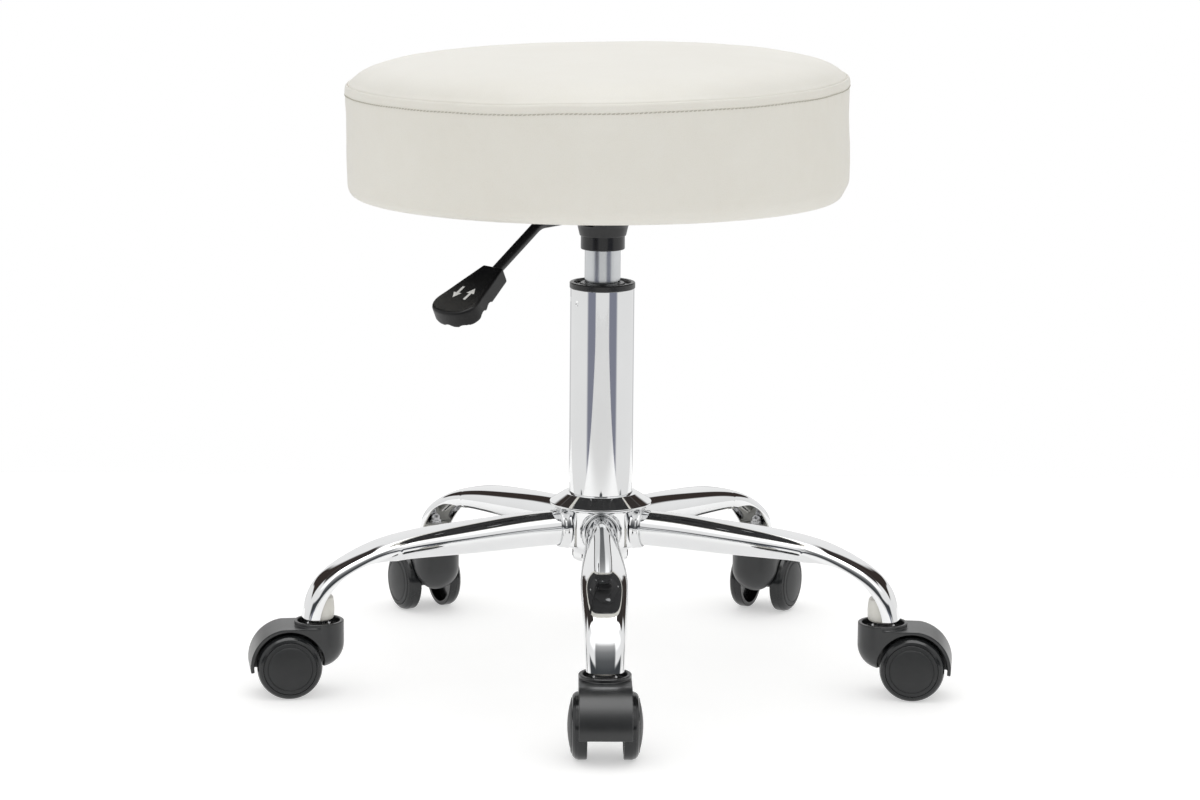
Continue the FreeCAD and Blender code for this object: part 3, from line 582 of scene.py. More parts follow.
# ------------------------------------------------------------------------- hub
def hub_mesh():
    """Barrel with five trumpet-shaped sockets, each fitted round its leg."""
    prof = rounded([(25.1, 103.0, 0.5), (HUB_R, 103.0, 2.2), (HUB_R, 137.0, 0.3), (25.1, 137.0, 0.3)], True, 5)
    v, f = lathe(prof, 192)
    verts, faces = [v], list(f)
    count = len(v)
    rows = np.array([[t[0], t[1], b[0], b[1], w, n] for t, b, w, n in LEG_ST])
    # distance out from the axis, and how far the socket stands off the leg there
    key = np.array([(28.6, 4.4), (29.8, 3.7), (31.0, 3.25), (32.2, 3.0), (33.3, 2.9), (34.2, 2.75), (34.9, 2.4),
                    (35.35, 1.9), (35.55, 1.35), (35.5, 0.85), (35.2, 0.4), (34.7, 0.1)])
    ks = np.concatenate([[0], np.cumsum(np.hypot(*np.diff(key, axis=0).T))])
    stations = [tuple(p) for p in nat_spline(ks, key, np.linspace(0, ks[-1], 43))] + [(28.6, 0.06)]
    n = 112
    th = 2 * math.pi * np.arange(n) / n
    for _, ang in LEGS:
        ring_v, k0 = [], count
        for r, off in stations:
            tz, bz, w = (np.interp(r, rows[:2, 0], rows[:2, c]) for c in (1, 3, 4))
            a, b, cz = w / 2 + off, (tz - bz) / 2 + off * 0.85, (tz + bz) / 2
            ring_v.append(np.stack([np.full(n, r), a * np.cos(th), np.minimum(cz + b * np.sin(th), 136.9)], 1))
        verts.append(rot_z(np.concatenate(ring_v), ang))
        m = len(stations)
        for s in range(m):
            e = (s + 1) % m
            for i in range(n):
                j = (i + 1) % n
                faces.append((k0 + s * n + i, k0 + s * n + j, k0 + e * n + j, k0 + e * n + i))
        count += m * n
    return np.concatenate(verts), faces


make_obj("base_hub_casting", *hub_mesh(), "base", "chrome", "chrome", "base_hub", sharp=40)

# ------------------------------------------------------------ hub collar, column
prof = rounded([
    (25.05, 137.02), (31.55, 137.02), (31.55, 133.4, 0.3), (34.5, 133.4, 0.6), (38.2, 134.9, 2.0), (40.2, 135.8, 0.9),
    (40.0, 137.4, 0.8), (28.4, 144.8, 1.6), (26.2, 145.2, 0.4), (25.05, 145.2, 0.2)], True, 6)
make_obj("hub_collar_ring", *lathe(prof, 160), "base", "chrome", "chrome", "hub_collar", sharp=40)


def column():
    prof = rounded([
        (25.0, 307.0, 0.35), (25.0, 137.0), (24.15, 103.0), (24.05, 101.5, 1.2), (22.9, 99.6, 1.5), (22.5, 97.6, 1.0), (22.4, 94.2, 1.2),
        (21.4, 91.0, 1.6), (19.0, 91.0, 0.3), (19.0, 92.98), (20.45, 92.98), (20.45, 98.4), (22.0, 103.2), (23.0, 137.0),
        (23.0, 307.0, 0.3)], True, 5)
    # extra rows where the crimp dimples are
    dense = []
    for a, b in zip(prof, prof[1:] + prof[:1]):
        dense.append(a)
        if abs(a[0] - 25.0) < 0.01 and abs(b[0] - 25.0) < 0.01 and a[1] - b[1] > 50:
            dense += [np.array([25.0, z]) for z in np.arange(303.0, 291.9, -0.3)]
            dense += [np.array([25.0, z]) for z in np.linspace(285, 145, 9)]
    n = 480
    v, f = lathe(dense, n)
    rr = np.hypot(v[:, 0], v[:, 1])
    th = np.arctan2(v[:, 1], v[:, 0])
    skin = (rr > 24.95) & (v[:, 2] > 290)
    for base_ang in (-143.0, 37.0):
        for k, dz in ((0, 10.6), (-29, 8.6)):
            a = math.radians(base_ang + k)
            d = np.hypot((np.mod(th - a + math.pi, 2 * math.pi) - math.pi) * 25.0, v[:, 2] - (307.0 - dz))
            depth = 0.8 * np.clip(1 - (d / 2.5) ** 2, 0, 1) ** 1.5
            rr = np.where(skin, rr - depth, rr)
    v[:, 0], v[:, 1] = rr * np.cos(th), rr * np.sin(th)
    return v, f


make_obj("column_tube_shell", *column(), "base", "chrome", "chrome", "column_tube", sharp=40)

prof = rounded([
    (14.06, 235.0, 0.4), (22.96, 235.0, 0.4), (22.96, 307.02), (25.6, 307.02, 0.5), (25.6, 311.7, 0.9), (22.5, 311.7, 0.35),
    (21.9, 309.8, 0.3), (17.4, 309.8, 0.3), (17.1, 311.2, 0.35), (14.06, 311.3, 0.5)], True, 5)
make_obj("guide_bush_ring", *lathe(prof, 160), "base", "black_nylon", "black_nylon", "guide_bush", sharp=40)

r_top = TUBE_R - (356.0 - 337.5) * 0.025
prof = rounded([
    (12.5, 112.0), (13.6, 112.0, 0.3), (14.0, 112.6, 0.4), (14.0, 337.5), (r_top, 356.0, 0.5), (12.6, 358.0, 0.4), (3.06, 358.0, 0.2),
    (3.06, 338.0), (12.5, 336.0)], True, 4)
make_obj("gas_cylinder_tube", *lathe(prof, 128), "seat", "tube_silver", "tube_silver", "gas_cylinder", sharp=40)

prof = rounded([
    (14.03, 337.5, 0.25), (17.2, 337.5, 0.8), (17.2, 356.0), (r_top + 0.03, 356.0)], True, 5)
make_obj("taper_socket_collar", *lathe(prof, 128), "seat", "collar_black", "black_nylon", "taper_socket", sharp=40)

# ----------------------------------------------------------------------- lever
BEND_AT, PADDLE_AT, PADDLE_SIDE, PADDLE_TURN = 78.5, 58.2, 1.45, -5.2
sl = math.radians(28.5)
U1 = np.array([math.cos(sl), 0, -math.sin(sl)])
U3 = np.array([math.sin(sl), 0, math.cos(sl)])
P2 = np.array([BEND_AT + 25.0 * math.sin(sl), 0, LEVER_Z - 25.0 * (1 - math.cos(sl))])
PADDLE_O = P2 + U1 * PADDLE_AT


def lever_rod():
    """Round bar along the bent path, with a domed inner end."""
    path = [np.array([x, 0, LEVER_Z]) for x in (-3.0, 0.0, 4.0, 20.0, 40.0, 60.0, 74.0)]
    for k in range(0, 13):
        a = sl * k / 12
        path.append(np.array([BEND_AT + 25.0 * math.sin(a), 0, LEVER_Z - 25.0 * (1 - math.cos(a))]))
    for d in (6.0, 20.0, 40.0, 56.0, 73.0, 90.1):
        path.append(P2 + U1 * d)
    path = np.array(path)
    rad = np.full(len(path), LEVER_R)
    # dome
    dome = [(-3.0 - LEVER_R * math.sin(a), LEVER_R * math.cos(a)) for a in np.linspace(math.radians(84), 0, 7)[:-1]]
    path = np.concatenate([[[x, 0, LEVER_Z] for x, _ in dome], path])
    rad = np.concatenate([[r for _, r in dome], rad])
    n = 40
    t = np.gradient(path, axis=0)
    t /= np.linalg.norm(t, axis=1, keepdims=True)
    side = np.array([0.0, 1.0, 0.0])
    verts, faces = [], []
    for p, d, r in zip(path, t, rad):
        up = np.cross(d, side)
        for i in range(n):
            a = 2 * math.pi * i / n
            verts.append(p + r * (math.cos(a) * side + math.sin(a) * up))
    for k in range(len(path) - 1):
        for i in range(n):
            j = (i + 1) % n
            faces.append((k * n + i, k * n + j, (k + 1) * n + j, (k + 1) * n + i))
    faces.append(tuple(range(n)))
    faces.append(tuple((len(path) - 1) * n + i for i in range(n)))
    return np.array(verts), faces


lv, lf = lever_rod()
make_obj("lever_rod_bar", rot_z(lv, LEVER_DIR), lf, "lever", "black_paint", "black_paint", "lever_rod", sharp=50)

PADDLE_M = (Matrix.Rotation(math.radians(LEVER_DIR), 4, "Z")
            @ Matrix.Translation(Vector(PADDLE_O * MM))
            @ Matrix(((U1[0], 0, U3[0], 0), (0, 1, 0, 0), (U1[2], 0, U3[2], 0), (0, 0, 0, 1)))
            @ Matrix.Translation(Vector((0, PADDLE_SIDE * MM, 0))) @ Matrix.Rotation(math.radians(PADDLE_TURN), 4, "Z"))
pad_me = remeshed(NODE["lever_paddle"].data, PADDLE_M.inverted(), 0.45, 4)
pad_me.transform(PADDLE_M)
paddle = bpy.data.objects.new("lever_paddle_moulding", pad_me)
scene.collection.objects.link(paddle)
pad_me.materials.append(MAT["paddle_black"])
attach(paddle, "lever")
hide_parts("lever_paddle")


def arrows():
    """Plain printed up and down arrows, a thin film on the paddle's top."""
    verts, faces = [], []
    shape = [(-7.0, -1.15), (0.8, -1.15), (0.8, -3.7), (7.0, 0.0), (0.8, 3.7), (0.8, 1.15), (-7.0, 1.15)]
    for cx, cy, flip in ((36.0, -5.6, 1.0), (36.0, 5.6, -1.0)):
        k = len(verts)
        for z in (6.94, 7.05):
            for x, y in shape:
                verts.append((cx + flip * x, cy + y, z))
        m = len(shape)
        faces.append(tuple(range(k + m, k + 2 * m)))
        faces.append(tuple(range(k + m - 1, k - 1, -1)))
        for i in range(m):
            j = (i + 1) % m
            faces.append((k + i, k + j, k + m + j, k + m + i))
    return np.array(verts), faces


av, af = arrows()
ar = make_obj("lever_paddle_arrows", av, af, None, "print_white", sharp=30)
ar.data.transform(PADDLE_M)
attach(ar, "lever")

# --------------------------------------------------------------------- casters
h_ang = dict(LEGS)["front"]
to_local = Matrix.Translation(Vector((-SWIVEL_R * MM, 0, 0))) @ Matrix.Rotation(math.radians(-h_ang), 4, "Z")
hood_me = remeshed(NODE["caster_front_hood"].data, to_local, 0.42, 5, 0.45)


def wheel_parts():
    tyre = rounded([
        (3.05, 13.4), (7.4, 13.4, 0.5), (7.8, 19.6, 0.4), (21.0, 19.6, 0.4), (21.2, 13.2, 0.4), (24.9, 13.2, 0.9), (25.0, 19.4, 2.2),
        (24.1, 22.0, 1.6), (22.6, 23.6, 1.4), (20.5, 24.6, 0.35), (20.3, 22.4), (3.05, 22.4)], True, 6)
    cap = rounded([
        (0, 22.5), (20.2, 22.5, 0.2), (20.2, 24.9, 0.9), (17.45, 25.35, 0.25), (17.05, 24.85, 0.25), (16.65, 25.35, 0.3)], False, 4)
    cap = [p for p in cap]
    h, r0, z0 = 2.0, 16.3, 25.6
    R = (r0 * r0 + h * h) / (2 * h)
    for r in np.linspace(r0, 0, 18):
        cap.append(np.array([r, z0 + h - R + math.sqrt(R * R - r * r)]))
    return lathe(tyre, 160), lathe(cap, 160, closed=False)


(ty_v, ty_f), (cp_v, cp_f) = wheel_parts()


def wheel_place(v, flip, turn, ang):
    """Profile axis becomes +Y (or -Y), then out to the wheel's place on the caster."""
    w = np.stack([v[:, 0], v[:, 2], -v[:, 1]], 1)
    if flip:
        w = rot_z(w, 180.0)
    w = rot_z(w + np.array([TRAIL, 0, WHEEL_R]), turn)
    return rot_z(w + np.array([SWIVEL_R, 0, 0]), ang)


for nm, ang in LEGS:
    me = hood_me.copy()
    me.transform(Matrix.Rotation(math.radians(ang), 4, "Z") @ Matrix.Translation(Vector((SWIVEL_R * MM, 0, 0)))
                 @ Matrix.Rotation(math.radians(TURNED[nm]), 4, "Z"))
    ob = bpy.data.objects.new("caster_%s_housing" % nm, me)
    scene.collection.objects.link(ob)
    me.materials.append(MAT["caster_black"])
    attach(ob, "caster_" + nm)
    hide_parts("caster_%s_hood" % nm)
    for sd, flip in (("l", False), ("r", True)):
        body = "caster_%s_wheel_%s" % (nm, sd)
        make_obj(body + "_tyre", wheel_place(ty_v, flip, TURNED[nm], ang), ty_f, body, "wheel_black", "wheel_black", body, sharp=40)
        make_obj(body + "_cap", wheel_place(cp_v, flip, TURNED[nm], ang), cp_f, body, "cap_black", "wheel_black", sharp=40)


# ------------------------------------------------------------------------ seat
def crown_z(r):
    """Height of the top panel: a shallow dome that falls off steeply near the sewn edge."""
    q = np.clip(np.asarray(r, float) / 193.5, 0.0, 1.0)
    return SEAM_Z + (SEAT_TOP - SEAM_Z) * (0.39 * (1 - q ** 2) + 0.61 * (1 - q ** 14))


def lean(p):
    """The cushion sits a little to one side and low on that side; its wrapped underside stays on the board."""
    p = np.asarray(p, float).reshape(-1, 3)
    r = np.hypot(p[:, 0], p[:, 1])
    u = np.clip((r - 181.0) / 12.0, 0.0, 1.0)
    w = np.maximum(np.clip((p[:, 2] - 398.0) / 6.0, 0.0, 1.0), u * u * (3 - 2 * u))
    a = math.radians(1.2)
    out = p.copy()
    out[:, 0] += w * (-4.5 - math.sin(a) * (p[:, 2] - 425.0))
    out[:, 2] += w * math.sin(a) * p[:, 0]
    return out


def seat_simulation():
    """Blown-up cushion: even remesh of a slightly smaller pad, cloth with inner pressure, its board held still.
    Gives the rest points and how far each moved."""
    prof = [np.array([0.0, 383.0])] + [np.array([r, 383.0]) for r in (40.0, 90.0, 140.0, 180.0)]
    prof += [np.array([193.0 - 10 + 10 * math.sin(a), 393.0 - 10 * math.cos(a)]) for a in np.linspace(0.3, math.pi / 2, 5)]
    prof += [np.array([193.0, z]) for z in (410.0, 430.0, 450.0)]
    prof += [np.array([192.4, 464.0])]
    prof += [np.array([r, float(crown_z(r)) - 2.0]) for r in (191.0, 180.0, 160.0, 130.0, 100.0, 60.0, 30.0)]
    prof += [np.array([0.0, SEAT_TOP - 2.0])]
    v, f = lathe(prof, 180, closed=False)
    me = bpy.data.meshes.new("pad_sim")
    me.from_pydata((v * MM).tolist(), [], f)
    bm = bmesh.new()
    bm.from_mesh(me)
    bmesh.ops.remove_doubles(bm, verts=bm.verts, dist=1e-6)
    bmesh.ops.recalc_face_normals(bm, faces=bm.faces)
    bm.to_mesh(me)
    bm.free()
    ob = bpy.data.objects.new("pad_sim", me)
    scene.collection.objects.link(ob)
    r = ob.modifiers.new("r", "REMESH")
    r.mode = "VOXEL"
    r.voxel_size = 0.0055
    dg = bpy.context.evaluated_depsgraph_get()
    even = bpy.data.meshes.new_from_object(ob.evaluated_get(dg))
    ob.modifiers.clear()
    ob.data = even
    rest = np.array([p.co[:] for p in even.vertices])
    hold = ob.vertex_groups.new(name="hold")
    seam = ob.vertex_groups.new(name="seam")
    rr = np.hypot(rest[:, 0], rest[:, 1])
    for i, (q, rad) in enumerate(zip(rest, rr)):
        if q[2] < 0.3925:
            hold.add([i], 1.0, "REPLACE")
        w = math.exp(-(((q[2] - 0.4655) / 0.006) ** 2)) if rad > 0.184 else 0.0
        if w > 0.02:
            seam.add([i], w, "REPLACE")
    cl = ob.modifiers.new("c", "CLOTH")
    st = cl.settings
    st.quality = 6
    st.mass = 0.25
    st.tension_stiffness = st.compression_stiffness = 60.0
    st.shear_stiffness = 30.0
    st.bending_stiffness = 4.0
    st.use_pressure = True
    st.uniform_pressure_force = 4.0
    st.vertex_group_mass = "hold"
    st.vertex_group_shrink = "seam"
    st.shrink_min = 0.0
    st.shrink_max = 0.035
    st.effector_weights.gravity = 0.0
    cl.point_cache.frame_start, cl.point_cache.frame_end = 1, 20
    for fr in range(1, 21):
        scene.frame_set(fr)
    dg = bpy.context.evaluated_depsgraph_get()
    done = bpy.data.meshes.new_from_object(ob.evaluated_get(dg))
    moved = np.array([p.co[:] for p in done.vertices])
    polys = [tuple(p.vertices) for p in even.polygons]
    nrm = np.array([p.normal[:] for p in even.vertices])
    edges = np.array([e.vertices[:] for e in even.edges])
    bpy.data.objects.remove(ob)
    scene.frame_set(1)
    # the profile already has the even swelling, so ring by ring only the unevenness is kept
    s = ((moved - rest) * nrm).sum(1)
    ring = np.round(np.where(nrm[:, 2] > 0.6, rr, 1.0 + rest[:, 2]) / 0.006).astype(int)
    s = s - (np.bincount(ring, weights=s) / np.maximum(np.bincount(ring), 1))[ring]
    deg = np.bincount(edges.ravel(), minlength=len(s))
    for _ in range(10):
        near = np.bincount(edges[:, 0], weights=s[edges[:, 1]], minlength=len(s))
        near += np.bincount(edges[:, 1], weights=s[edges[:, 0]], minlength=len(s))
        s = 0.5 * s + 0.5 * near / np.maximum(deg, 1)
    return rest, polys, nrm * np.clip(0.22 * s, -0.0003, 0.0008)[:, None]


class Swell:
    """Reads the simulated movement at any point of the pad's surface."""

    def __init__(self):
        self.tree = None
        self.rest, self.polys, self.d = seat_simulation()
        self.tris = [t for p in self.polys for t in ([p] if len(p) == 3 else [(p[0], p[1], p[2]), (p[0], p[2], p[3])])]
        self.tree = BVHTree.FromPolygons([Vector(p) for p in self.rest], self.tris)

    def at(self, pts):
        out = np.zeros_like(pts)
        if self.tree is None:
            return out
        for i, p in enumerate(pts):
            loc, _, k, _ = self.tree.find_nearest(Vector(p * MM))
            a, b, c = self.tris[k]
            A, B, C = (self.rest[j] for j in (a, b, c))
            v0, v1, v2 = B - A, C - A, np.array(loc) - A
            d00, d01, d11, d20, d21 = v0 @ v0, v0 @ v1, v1 @ v1, v2 @ v0, v2 @ v1
            den = d00 * d11 - d01 * d01
            if abs(den) < 1e-20:
                out[i] = self.d[a] / MM
                continue
            w1, w2 = (d11 * d20 - d01 * d21) / den, (d00 * d21 - d01 * d20) / den
            out[i] = ((1 - w1 - w2) * self.d[a] + w1 * self.d[b] + w2 * self.d[c]) / MM
        return out


class Rings:
    """Surface stitched through rings of points; a ring has as many points as its neighbour, or twice or half as many."""

    def __init__(self):
        self.v, self.f, self.last = [], [], None

    def add(self, pts):
        k = len(self.v)
        self.v.extend(pts)
        ring = list(range(k, k + len(pts)))
        if self.last is not None:
            self.join(self.last, ring)
        self.last = ring
        return ring

    def join(self, a, b):
        n, m = len(a), len(b)
        if n == 1:
            self.f.extend((a[0], b[i], b[(i + 1) % m]) for i in range(m))
        elif m == 1:
            self.f.extend((a[i], b[0], a[(i + 1) % n]) for i in range(n))
        elif n == m:
            self.f.extend((a[i], b[i], b[(i + 1) % n], a[(i + 1) % n]) for i in range(n))
        elif m == 2 * n:
            for i in range(n):
                j = (i + 1) % n
                self.f += [(a[i], b[2 * i], b[2 * i + 1]), (a[i], b[2 * i + 1], a[j]),
                           (a[j], b[2 * i + 1], b[(2 * i + 2) % m])]
        elif n == 2 * m:
            for i in range(m):
                j = (i + 1) % m
                self.f += [(b[i], a[2 * i + 1], a[2 * i]), (b[i], b[j], a[2 * i + 1]),
                           (b[j], a[(2 * i + 2) % n], a[2 * i + 1])]


N_STITCH = 360


def fbm(x, y, z, octaves=3):
    return noise.fractal(Vector((x, y, z)), 1.0, 2.0, octaves, noise_basis="PERLIN_ORIGINAL")


def seam_wobble(th):
    """How far the sewn edge runs above or below its level."""
    low = 1.4 * np.maximum(0.0, np.cos(th - math.radians(196.0))) ** 2
    n = np.array([fbm(3.0 * math.cos(t), 3.0 * math.sin(t), 4.7, 2) for t in th])
    return -low + 0.75 * n


SWELL = Swell()


def seat_cover():
    rows = []          # (r, z, points round, kind)
    rows.append((0.0, SEAT_TOP, 1))
    for r in (3, 7, 12, 17):
        rows.append((r, float(crown_z(r)), 90))
    for r in np.arange(22, 60, 4.5):
        rows.append((r, float(crown_z(r)), 180))
    for r in np.arange(60, 182, 4.2):
        rows.append((r, float(crown_z(r)), 360))
    for r in np.arange(182.5, 189.6, 1.2):
        rows.append((r, float(crown_z(r)), 720))
    # the panel's edge turns down into the seam, the band's folded top stands up against it
    edge = [(190.2, 0.0), (190.8, -0.15), (191.3, -0.45), (191.65, -0.95), (191.85, -1.6), (192.0, -2.2), (192.2, -2.25),
            (192.4, -1.6), (192.65, -1.05), (193.0, -0.75), (193.45, -0.75), (193.85, -1.05), (194.15, -1.55), (194.4, -2.2)]
    for r, dz in edge:
        rows.append((r, float(crown_z(190.2)) - (r - 190.2) * 0.30 + dz, 1440))
    zt = rows[-1][1]
    strip = [(194.55, zt - 0.8), (194.75, zt - 1.6), (194.85, zt - 2.4), (194.85, zt - 3.1), (194.75, zt - 3.7), (194.65, zt - 4.1),
             (194.52, zt - 4.45), (194.42, zt - 4.75), (194.36, zt - 5.0), (194.34, zt - 5.25), (194.34, zt - 5.55), (194.36, zt - 5.9),
             (194.40, zt - 6.4), (194.44, zt - 7.0), (194.48, zt - 7.8)]
    z_st = zt - 5.0
    for r, z in strip:
        rows.append((r, z, 1440))
    zs = zt - 9.0
    for z in np.concatenate([np.linspace(zs, zs - 8, 6), np.linspace(zs - 10.5, 394.0, 22)]):
        f = (zs - z) / (zs - 394.0)
        rows.append((194.52 - 0.35 * math.sin(math.pi * min(1.0, f * 1.6)) - 0.35 * f, z, 720))
    rb = rows[-1][0]
    for a in np.linspace(0.12, math.pi / 2, 9):
        rows.append((rb - 11.0 + 11.0 * math.cos(a), 393.0 - 12.0 * math.sin(a) + 0.0, 720))
    r1, z1 = rows[-1][0], rows[-1][1]
    for r in (181.0, 178.0, 174.0, 170.0, 166.0, 162.0, 158.5, 156.2, 155.3):
        rows.append((r, 381.03, 720))
    rg = Rings()
    info = []
    for r, z, n in rows:
        th = 2 * math.pi * np.arange(n) / n
        pts = np.stack([r * np.cos(th), r * np.sin(th), np.full(n, z)], 1) if n > 1 else np.array([[0.0, 0.0, z]])
        info.append((r, z, n, th, pts))
    allp = np.concatenate([i[4] for i in info])
    mv = SWELL.at(allp)
    k = 0
    for r, z, n, th, pts in info:
        d = mv[k:k + n]
        k += n
        if n == 1:
            rg.add([tuple(q) for q in lean(pts + d)])
            continue
        er = np.stack([np.cos(th), np.sin(th), np.zeros(n)], 1)
        p = pts.copy()
        if z > 394.0:
            p = p + d
        # uneven run of the sewn edge, fading out above and below
        near = math.exp(-((z - z_st - 2.5) / 11.0) ** 2) if r > 170 else 0.0
        if near > 0.01:
            p[:, 2] += near * seam_wobble(th)
        on_band = r > 190 and z > 394
        if on_band:
            # slight unevenness of the foam behind the band
            amp = 0.55 * min(1.0, (z - 392.0) / 14.0)
            p += er * (amp * np.array([fbm(2.2 * math.cos(t) * 1.9, 2.2 * math.sin(t) * 1.9, z * 0.021, 3) for t in th]))[:, None]
            # puckers drawn by the stitching, strongest just under it
            drop = z_st - z
            if -6.0 < drop < 26.0:
                fall = math.exp(-((drop - 2.0) / 9.0) ** 2)
                pk = np.array([noise.noise(Vector((27.0 * math.cos(t), 27.0 * math.sin(t), z * 0.035))) for t in th])
                pk2 = np.array([noise.noise(Vector((60.0 * math.cos(t), 60.0 * math.sin(t), z * 0.03 + 9.0))) for t in th])
                p += er * (fall * (0.34 * pk + 0.16 * pk2))[:, None]
            # every stitch pulls its two holes in and leaves a small pillow between
            s = abs(drop)
            if s < 1.6 and n == 1440:
                ph = np.cos(th * N_STITCH)
                p -= er * (0.20 * math.exp(-(s / 0.6) ** 2) * (ph + 1.0))[:, None]
        if r < 182 and z < 383 and r > 150:
            # pleats where the cover is drawn in under the board
            f = min(1.0, (182.0 - r) / 10.0)
            pl = np.array([max(0.0, noise.noise(Vector((13.0 * math.cos(t), 13.0 * math.sin(t), 2.0)))) for t in th])
            p[:, 2] -= 0.0 + 0.9 * f * pl * (1.0 if r > 168 else max(0.0, (r - 160.0) / 8.0))
        rg.add([tuple(q) for q in lean(p)])
    # inside of the cover
    inner = [(155.3, 382.2, 720), (170.0, 382.2, 360), (183.0, 382.2, 360), (189.5, 384.6, 360), (192.4, 392.0, 360), (193.0, 410.0, 360),
             (193.0, 440.0, 360), (193.0, 460.0, 360), (190.5, 466.6, 360), (184.0, float(crown_z(184.0)) - 1.6, 360),
             (150.0, float(crown_z(150.0)) - 1.4, 360), (110.0, float(crown_z(110.0)) - 1.4, 360), (60.0, float(crown_z(60.0)) - 1.4, 180),
             (20.0, SEAT_TOP - 1.8, 90), (0.0, SEAT_TOP - 1.8, 1)]
    ip = []
    for r, z, n in inner:
        th = 2 * math.pi * np.arange(n) / n
        ip.append(np.stack([r * np.cos(th), r * np.sin(th), np.full(n, z)], 1) if n > 1 else np.array([[0.0, 0.0, z]]))
    mvi = SWELL.at(np.concatenate(ip))
    k = 0
    for (r, z, n), p in zip(inner, ip):
        d = mvi[k:k + n]
        k += n
        rg.add([tuple(q) for q in lean(p + d if z > 394 else p)])
    return rg, z_st


rg, Z_STITCH = seat_cover()
cover = make_obj("seat_cover_leather", np.array(rg.v), rg.f, "seat", "cream_leather", "cream_leather", "seat_cover", sharp=None)


def stitches(cover_ob):
    """One short thread between each two holes, lying in the sewn line."""
    me = cover_ob.data
    bm = bmesh.new()
    bm.from_mesh(me)
    tree = BVHTree.FromBMesh(bm)
    bm.free()
    verts, faces = [], []
    wob = seam_wobble(2 * math.pi * (np.arange(N_STITCH * 8)) / (N_STITCH * 8))

    def on_skin(th, lift):
        z = Z_STITCH + wob[int(round(th / (2 * math.pi) * N_STITCH * 8)) % (N_STITCH * 8)] * 0.97
        q = lean(np.array([194.5 * math.cos(th), 194.5 * math.sin(th), z]))[0]
        o = Vector(q * MM) + Vector((0.03 * math.cos(th), 0.03 * math.sin(th), 0.0))
        hit, nrm, _, _ = tree.ray_cast(o, Vector((-math.cos(th), -math.sin(th), 0.0)))
        return np.array(hit) / MM + np.array([math.cos(th), math.sin(th), 0.0]) * lift

    seg = 8
    step = 2 * math.pi / N_STITCH
    for i in range(N_STITCH):
        # holes are at whole steps; the thread dives into them
        fr = np.array([0.06, 0.18, 0.34, 0.5, 0.66, 0.82, 0.94])
        lift = np.array([-0.28, 0.08, 0.24, 0.30, 0.24, 0.08, -0.28])
        path = np.array([on_skin((i + f) * step, l) for f, l in zip(fr, lift)])
        path[:, 2] += np.linspace(-0.34, 0.34, len(path))
        t = np.gradient(path, axis=0)
        t /= np.linalg.norm(t, axis=1, keepdims=True)
        rad = np.array([0.14, 0.32, 0.40, 0.42, 0.40, 0.32, 0.14])
        k = len(verts)
        for p, d, r in zip(path, t, rad):
            a = np.cross(d, [0, 0, 1.0])
            a /= np.linalg.norm(a)
            b = np.cross(a, d)
            for q in range(seg):
                w = 2 * math.pi * q / seg
                verts.append(p + r * (math.cos(w) * a + math.sin(w) * b))
        m = len(path)
        for s in range(m - 1):
            for q in range(seg):
                q2 = (q + 1) % seg
                faces.append((k + s * seg + q, k + s * seg + q2, k + (s + 1) * seg + q2, k + (s + 1) * seg + q))
        faces.append(tuple(k + q for q in range(seg)))
        faces.append(tuple(k + (m - 1) * seg + q for q in range(seg)))
    return np.array(verts), faces


sv, sf = stitches(cover)
make_obj("seat_cover_topstitch", sv, sf, "seat", "thread", "cream_leather", fix=True)

# foam under the cover: a cut round pad with its crown
foam_prof = rounded([
    (0, 397.25), (180.1, 397.25, 0.5), (180.1, 382.4, 0.5), (183.5, 382.4, 4.0), (191.6, 386.0, 6.0), (191.9, 459.0, 6.0),
    (188.5, 466.5, 6.0), (172.0, float(crown_z(172.0)) - 2.6, 20.0), (120.0, float(crown_z(120.0)) - 2.4, 60.0),
    (60.0, float(crown_z(60.0)) - 2.2, 40.0), (0, SEAT_TOP - 2.4)], False, 6)
foam_v, foam_f = lathe(foam_prof, 180, closed=False)
foam_j = np.array([0.25 * noise.noise(Vector(p * 0.16)) for p in foam_v])
foam_v[:, 2] -= np.where(foam_v[:, 2] > 400, np.abs(foam_j), 0.0)
foam = make_obj("foam_pad_block", lean(foam_v), foam_f, "seat", "foam", "foam", "foam_pad", sharp=45)


def dust_cover():
    """Thin non-woven disc, its rim folded in once, stretched between the staples."""
    rg = Rings()
    n = 336
    th = 2 * math.pi * np.arange(n) / n
    flat = lambda r: 380.43
    rows = [3.0, 30.0, 60.0, 90.0, 105.0, 112.0, 118.0, 124.0, 130.0, 136.0, 142.0, 148.0, 152.0, 155.0, 157.5, 160.0, 162.5, 164.4]

    def sag(r):
        w = max(0.0, min(1.0, (r - 109.0) / 14.0)) * max(0.0, min(1.0, (160.0 - r) / 14.0))
        s = np.array([0.5 + 0.5 * noise.noise(Vector((5 * math.cos(t) * r / 140, 5 * math.sin(t) * r / 140, 1.3))) for t in th])
        edge = max(0.0, (r - 156.0) / 9.0) * 0.28 * (1 - np.cos(28 * (th - math.radians(3.0)))) / 2
        return w * (0.15 + 1.0 * s) + edge

    lo, hi = [], []
    for r in rows:
        dz = sag(r)
        lo.append(np.stack([r * np.cos(th), r * np.sin(th), flat(r) - dz], 1))
        hi.append(np.stack([r * np.cos(th), r * np.sin(th), flat(r) + 0.42 - dz], 1))
    rg.add([(0, 0, 380.43)])
    for p in lo:
        rg.add([tuple(q) for q in p])
    r = 165.0
    dz = sag(r)
    rg.add([tuple(q) for q in np.stack([r * np.cos(th), r * np.sin(th), flat(r) + 0.2 - dz], 1)])
    for p in reversed(hi):
        rg.add([tuple(q) for q in p])
    rg.add([(0, 0, 380.85)])
    return np.array(rg.v), rg.f


